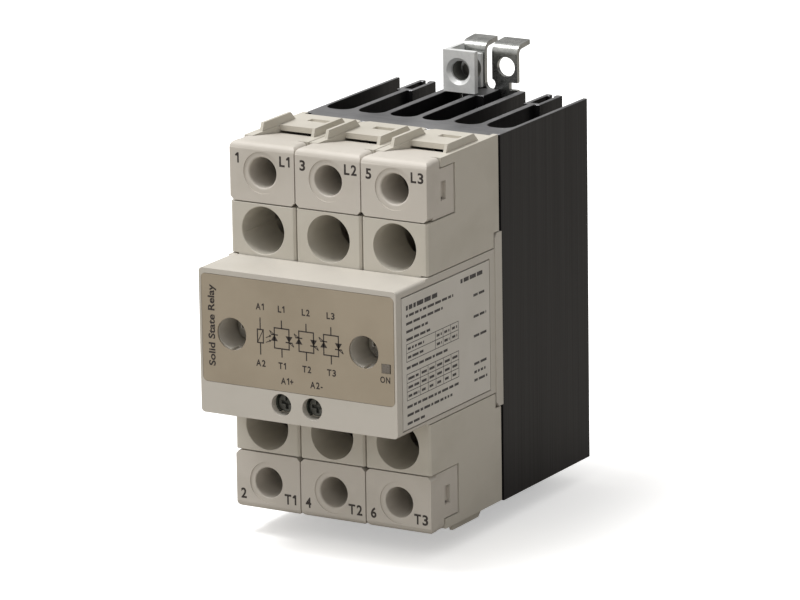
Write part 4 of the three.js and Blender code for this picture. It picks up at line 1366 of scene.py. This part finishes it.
@dataclass
class LabelPrint:
    """The side label's print, as plain bars in place of words, and its two tables."""

    surface: float = 26.9
    left: float = -89.0
    low: float = -15.2
    line_height: float = 0.62
    line_pitch: float = 2.1
    seed: int = 7
    bar_lengths: tuple[float, float] = (0.8, 3.2)
    shortest_bar: float = 0.3
    bar_gap: float = 0.5
    rule: float = 0.16
    cell_margin: float = 0.6
    cell_lean: float = 0.001
    longest_cell: float = 7.5

    def words(self, marks: Print, place: tuple[float, float], length: float, height: float) -> None:
        """Fills a line with word-like bars.

        Args:
            marks: The print.
            place: The Y and Z where the line starts.
            length: The line's length.
            height: The bars' height.
        """
        draw = random.Random(self.seed * 1000 + round(place[1] * 10))
        start, stop = place[0], place[0] + length
        while start < stop:
            reach = min(stop, start + draw.uniform(*self.bar_lengths))
            if reach - start > self.shortest_bar:
                marks.bar((start, place[1]), (reach, place[1]), height)
            start = reach + self.bar_gap

    def table(self, marks: Print, corner: tuple[float, float], rows: int, columns: Sequence[float]) -> None:
        """Draws a table with a bar in each cell.

        Args:
            marks: The print.
            corner: Its lower left corner.
            rows: How many rows it has.
            columns: The width of each column.
        """
        row = self.line_pitch
        height = rows * row
        width = sum(columns)
        marks.frame(corner, (corner[0] + width, corner[1] + height), self.rule)
        for index in range(1, rows):
            level = corner[1] + index * row
            marks.bar((corner[0], level), (corner[0] + width, level), self.rule)
        across = corner[0]
        for column in columns:
            for index in range(rows):
                level = corner[1] + (index + 0.5) * row
                place = (across + self.cell_margin, level + across * self.cell_lean)
                length = min(column - 2 * self.cell_margin, self.longest_cell)
                self.words(marks, place, length, self.line_height)
            across += column
            if across < corner[0] + width - TOUCH:
                marks.bar((across, corner[1]), (across, corner[1] + height), self.rule)

    def build(self) -> None:
        """Prints the label."""
        marks = Print("side_label_marks", "root", LABEL_INK, Facing.RIGHT, self.surface)
        lines = ((12.8, 14.5, 1.1), (10.9, 22, 0.62), (9.0, 17, 0.62), (7.1, 10, 0.62), (5.2, 11, 0.62))
        for height, length, thick in lines:
            self.words(marks, (self.left, height), length, thick)
        self.table(marks, (self.left, -0.1), 2, (13.4, 3.6, 3.6, 3.6))
        self.words(marks, (self.left, -1.6), 19, self.line_height)
        self.table(marks, (self.left, -9.4), 3, (6.2, 3.6, 3.6, 3.6, 3.6, 3.6))
        for height, length in ((-11.0, 24), (-13.0, 21), (-15.0, 8)):
            self.words(marks, (self.left, height), length, self.line_height)
        self.words(marks, (-63.5, 13.4), 10.4, 1.0)
        for height, length in ((8.6, 5.2), (3.4, 6.0), (-1.4, 6.0), (-8.2, 6.2), (-10.2, 5.4), (-12.2, 6.2)):
            self.words(marks, (-57.5, height), length, self.line_height)
        marks.publish()


@dataclass
class ControlTerminals:
    """The pair of control terminals in their block."""

    x: tuple[float, float] = (-4.7, 3.7)
    height: float = -13.3
    head_front: float = -91.1
    head_thickness: float = 1.6
    head_radius: float = 2.3
    shank_radius: float = 1.5
    shank_rear: float = -85.4
    pitch: float = 0.5

    def build(self) -> None:
        """Dresses the block, screws and washers."""
        dress_node("control_body", TERMINAL_PLASTIC)
        for side, x in zip(Side, self.x):
            rounds = [Round(x, self.height, self.head_radius), Round(x, self.height, self.shank_radius)]
            screw = f"control_screw_{side.word}"
            brim = Softening(0.25, 3, at_depth(self.head_front))
            dress_node(screw, DULL_STEEL, rounds, (brim, FINE))
            ridge = bmesh.new()
            start = self.head_front + self.head_thickness
            thread(ridge, (x, self.height), self.shank_radius, (start, self.shank_rear), self.pitch)
            publish(ridge, f"{screw}_thread", screw, (DULL_STEEL,))
            dress_node(f"control_clamp_{side.word}", ZINC)


@dataclass
class HousingScrews:
    """The two long screws that hold the relay on its heatsink."""

    x: float = 18
    height: float = 2.3
    head_front: float = -85.5
    head_radius: float = 3.5
    shank_radius: float = 2

    def build(self) -> None:
        """Dresses both screws."""
        brim = Softening(0.35, 3, at_depth(self.head_front))
        for side in Side:
            x = side.sign * self.x
            rounds = [Round(x, self.height, self.head_radius), Round(x, self.height, self.shank_radius)]
            dress_node(f"housing_screw_{side.word}", NICKEL, rounds, (brim, FINE))


# ---------------------------------------------------------------- rear

@dataclass
class Heatsink:
    """The extruded heatsink with its sawn ends."""

    top: float = 44.7
    bottom: float = -45.5

    def mark_ends(self, shape: bmesh.types.BMesh) -> None:
        """Gives the cut ends the second finish.

        Args:
            shape: The mesh.
        """
        for face in shape.faces:
            middle = face.calc_center_median().z / MM
            if middle > self.top - TOUCH or middle < self.bottom + TOUCH:
                face.material_index = 1

    def build(self) -> None:
        """Dresses the heatsink."""
        dress_node("heatsink", ANODISED, (), (Softening(0.12, 1),), self.mark_ends, (SAWN,))


@dataclass
class RailHardware:
    """The rail clip, latch, spring, earth bracket and their fasteners."""

    tab_hole: Round = Round(4.6, 50.4, 2.45)
    clip_eye: Round = Round(0.2, 45.8, 1.4)
    earth_hole: Round = Round(-3.7, 50.2, 2.5)
    earth_sink: Round = Round(-3.7, 50.2, 3.4)
    rivet_head: Round = Round(-4.4, 49.4, 2.2)
    rivet_tip: Round = Round(-4.4, 49.4, 1.7)
    latch_eye: Round = Round(-1.75, -48.2, 1.5)
    bush_front: float = -8.45
    bush_rear: float = -4.1
    bush_radius: float = 3.2
    bush_pitch: float = 0.8
    bush_ridge: float = 0.3
    bush_steps: int = 48
    spring_x: float = 4.9
    spring_y: float = -5.3
    spring_low: float = -39.7
    spring_high: float = -27.0
    spring_radius: float = 1.8
    spring_wire: float = 0.35
    spring_turns: int = 7
    latch_travel: float = 4.0
    coil_sides: int = 10
    coil_steps: int = 28
    clip_screw_heights: tuple[float, float] = (32, 8)
    screw_radius: float = 3

    def earth_thread(self) -> None:
        """Cuts the thread of the earth screw into a bush behind the bracket's front; the bush's dark dull
        steel finish is painted shade for the inside of the hole.
        """
        turns = round((self.bush_rear - self.bush_front) / self.bush_pitch)
        inner = []
        for index in range(2 * turns + 1):
            radius = self.earth_hole.radius - (index % 2) * self.bush_ridge
            inner.append((radius, self.bush_front + index * self.bush_pitch / 2))
        outer = [(self.bush_radius, inner[-1][1]), (self.bush_radius, self.bush_front)]
        bush = bmesh.new()
        x, z = self.earth_hole.x, self.earth_hole.z
        verts = [bush.verts.new(Vector((x + radius, y, z)) * MM) for radius, y in inner + outer]
        face = bush.faces.new(verts)
        bmesh.ops.spin(
            bush, geom=[face, *face.edges, *face.verts], cent=Vector((x, 0, z)) * MM, axis=(0, 1, 0),
            angle=math.tau, steps=self.bush_steps, use_duplicate=False,
        )
        bmesh.ops.remove_doubles(bush, verts=bush.verts, dist=MERGE)
        if face.is_valid:
            bush.faces.remove(face)
        bmesh.ops.recalc_face_normals(bush, faces=bush.faces)
        # The dull steel finish darkens the bush: painted shade inside the earth hole, over a real thread.
        publish(bush, "earth_bracket_thread_painted_shade", "root", (DULL_STEEL,))

    def spring(self) -> None:
        """Winds the latch's return spring at its rest length."""
        wire = bmesh.new()
        low = self.spring_low + self.spring_wire
        rise = self.spring_high - self.spring_wire - low
        steps = self.spring_turns * self.coil_steps
        start = Vector((self.spring_x + self.spring_radius, self.spring_y, low)) * MM
        section = Matrix.Translation(start) @ Matrix.Rotation(math.pi / 2, 4, "X")
        bmesh.ops.create_circle(
            wire, cap_ends=True, segments=self.coil_sides, radius=self.spring_wire * MM, matrix=section,
        )
        bmesh.ops.spin(
            wire,
            geom=[*wire.faces, *wire.edges, *wire.verts],
            cent=Vector((self.spring_x, self.spring_y, low)) * MM,
            axis=(0, 0, 1),
            dvec=(0, 0, rise / steps * MM),
            angle=self.spring_turns * math.tau,
            steps=steps,
        )
        bmesh.ops.recalc_face_normals(wire, faces=wire.faces)
        coil = publish(wire, "latch_spring_coil", "root", (NICKEL,), ("latch_spring",))
        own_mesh(coil)

    def build(self) -> None:
        """Dresses the sheet metal and the fasteners, and winds the spring."""
        sheet = Softening(0.14, 2)
        dress_node("rail_clip", ZINC, (self.tab_hole, self.clip_eye), (sheet,))
        # The bracket's near-white colour is painted reflection, not the zinc's own colour.
        dress_node("earth_bracket", ZINC_PAINTED_REFLECTION, (self.earth_hole, self.earth_sink), (sheet,))
        dress_node("rail_latch", ZINC, (self.latch_eye,), (sheet,))
        dress_node("bracket_rivet", NICKEL, (self.rivet_head, self.rivet_tip), (sheet,))
        for name, height in zip(("upper", "lower"), self.clip_screw_heights):
            dress_node(f"clip_screw_{name}", ZINC, (Round(0, height, self.screw_radius),), (sheet,))
        self.earth_thread()
        self.spring()


# ---------------------------------------------------------------- studio

@dataclass
class Studio:
    """The camera, the floor and the light."""

    camera_place: tuple[float, float, float] = (725.18, -1277.35, 375.24)
    view: tuple[float, float, float] = (-0.49095089, 0.83366191, -0.25293288)
    upward: tuple[float, float, float] = (-0.11516135, 0.22590013, 0.96731949)
    lens: float = 277.05
    sensor: float = 36
    floor_size: float = 12000
    floor_gap: float = 0.4
    floor_colour: tuple[float, float, float] = (246, 246, 246)
    bounce_colour: tuple[float, float, float] = (178, 174, 168)
    floor_glow: float = 0.45
    sky_low: float = 0.10
    sky_high: float = 1.0
    sky_foot: float = -0.35
    sky_way: tuple[float, float, float] = (-0.4, -0.3, 0.87)
    sky_colour: tuple[float, float, float, float] = (1, 0.985, 0.96, 1)
    key_place: tuple[float, float, float] = (-0.55, -0.35, 1.65)
    key_size: float = 0.7
    key_power: float = 20

    def camera(self) -> None:
        """Sets the camera."""
        data = bpy.data.cameras.new("camera")
        data.lens = self.lens
        data.sensor_width = self.sensor
        data.clip_start = 0.05
        data.clip_end = 50
        holder = bpy.data.objects.new("camera", data)
        bpy.context.scene.collection.objects.link(holder)
        back = -Vector(self.view)
        right = Vector(self.upward).cross(back).normalized()
        turn = Matrix((right, back.cross(right), back)).transposed().to_4x4()
        holder.matrix_world = Matrix.Translation(Vector(self.camera_place) * MM) @ turn
        bpy.context.scene.camera = holder

    def floor(self) -> None:
        """Lays a pale floor that throws less light back than it shows."""
        low = CAD_BOX[0][2] - self.floor_gap * MM
        shape = bmesh.new()
        half = self.floor_size * MM / 2
        level = Matrix.Translation((0, 0, low))
        bmesh.ops.create_grid(shape, x_segments=1, y_segments=1, size=half, matrix=level)
        mesh = bpy.data.meshes.new("floor")
        shape.to_mesh(mesh)
        shape.free()
        floor = bpy.data.objects.new("floor", mesh)
        bpy.context.scene.collection.objects.link(floor)
        nodes = Nodes("floor paint")
        mix = nodes.add("ShaderNodeMix", data_type="RGBA")
        mix.inputs["A"].default_value = linear(*self.bounce_colour)
        mix.inputs["B"].default_value = linear(*self.floor_colour)
        seen = nodes.add("ShaderNodeLightPath").outputs["Is Camera Ray"]
        nodes.link(seen, mix.inputs["Factor"])
        nodes.link(mix.outputs["Result"], nodes.shader.inputs["Base Color"])
        glow = nodes.add("ShaderNodeMath", operation="MULTIPLY")
        glow.inputs[1].default_value = self.floor_glow
        nodes.link(seen, glow.inputs[0])
        nodes.link(glow.outputs["Value"], nodes.shader.inputs["Emission Strength"])
        nodes.shader.inputs["Emission Color"].default_value = linear(*self.floor_colour)
        nodes.constant(Roughness=0.8, Specular_IOR_Level=0.1)
        mesh.materials.append(nodes.material)

    def sky(self) -> None:
        """Lights the scene with a soft gradient, brightest above the left front."""
        world = bpy.data.worlds.new("studio")
        bpy.context.scene.world = world
        world.use_nodes = True
        tree = world.node_tree
        tree.nodes.clear()
        output = tree.nodes.new("ShaderNodeOutputWorld")
        background = tree.nodes.new("ShaderNodeBackground")
        place = tree.nodes.new("ShaderNodeTexCoord")
        dot = tree.nodes.new("ShaderNodeVectorMath")
        dot.operation = "DOT_PRODUCT"
        dot.inputs[1].default_value = Vector(self.sky_way).normalized()
        spread = tree.nodes.new("ShaderNodeMapRange")
        ends = (self.sky_foot, 1, self.sky_low, self.sky_high)
        for name, value in zip(("From Min", "From Max", "To Min", "To Max"), ends):
            spread.inputs[name].default_value = value
        tree.links.new(place.outputs["Generated"], dot.inputs[0])
        tree.links.new(dot.outputs["Value"], spread.inputs["Value"])
        tree.links.new(spread.outputs["Result"], background.inputs["Strength"])
        background.inputs["Color"].default_value = self.sky_colour
        tree.links.new(background.outputs["Background"], output.inputs["Surface"])

    def lamp(self, name: str, place: Sequence[float], size: float, power: float) -> None:
        """Hangs a soft box that faces the relay.

        Args:
            name: Its name.
            place: Where it hangs, in metres.
            size: Its side, in metres.
            power: Its power in watts.
        """
        data = bpy.data.lights.new(name, "AREA")
        data.size = size
        data.energy = power
        holder = bpy.data.objects.new(name, data)
        bpy.context.scene.collection.objects.link(holder)
        holder.location = place
        holder.rotation_euler = (-Vector(place)).to_track_quat("-Z", "Y").to_euler()

    def build(self) -> None:
        """Sets up the whole studio."""
        scene = bpy.context.scene
        scene.view_settings.view_transform = "Standard"
        self.camera()
        self.floor()
        self.sky()
        self.lamp("key", self.key_place, self.key_size, self.key_power)


def main() -> None:
    """Builds the relay and the studio."""
    logging.basicConfig(level=logging.INFO, format="%(name)s: %(message)s")
    Studio().build()
    poles = Poles()
    poles.build()
    for end in End:
        for pole in range(1, poles.count + 1):
            x = poles.centre(pole)
            TerminalCap(end, pole, x).build()
            PowerTerminal(end, pole, x).build()
    FrontCover().build()
    FaceplatePrint().build()
    LabelPrint().build()
    ControlTerminals().build()
    HousingScrews().build()
    Heatsink().build()
    RailHardware().build()


if __name__ == "__main__":
    main()
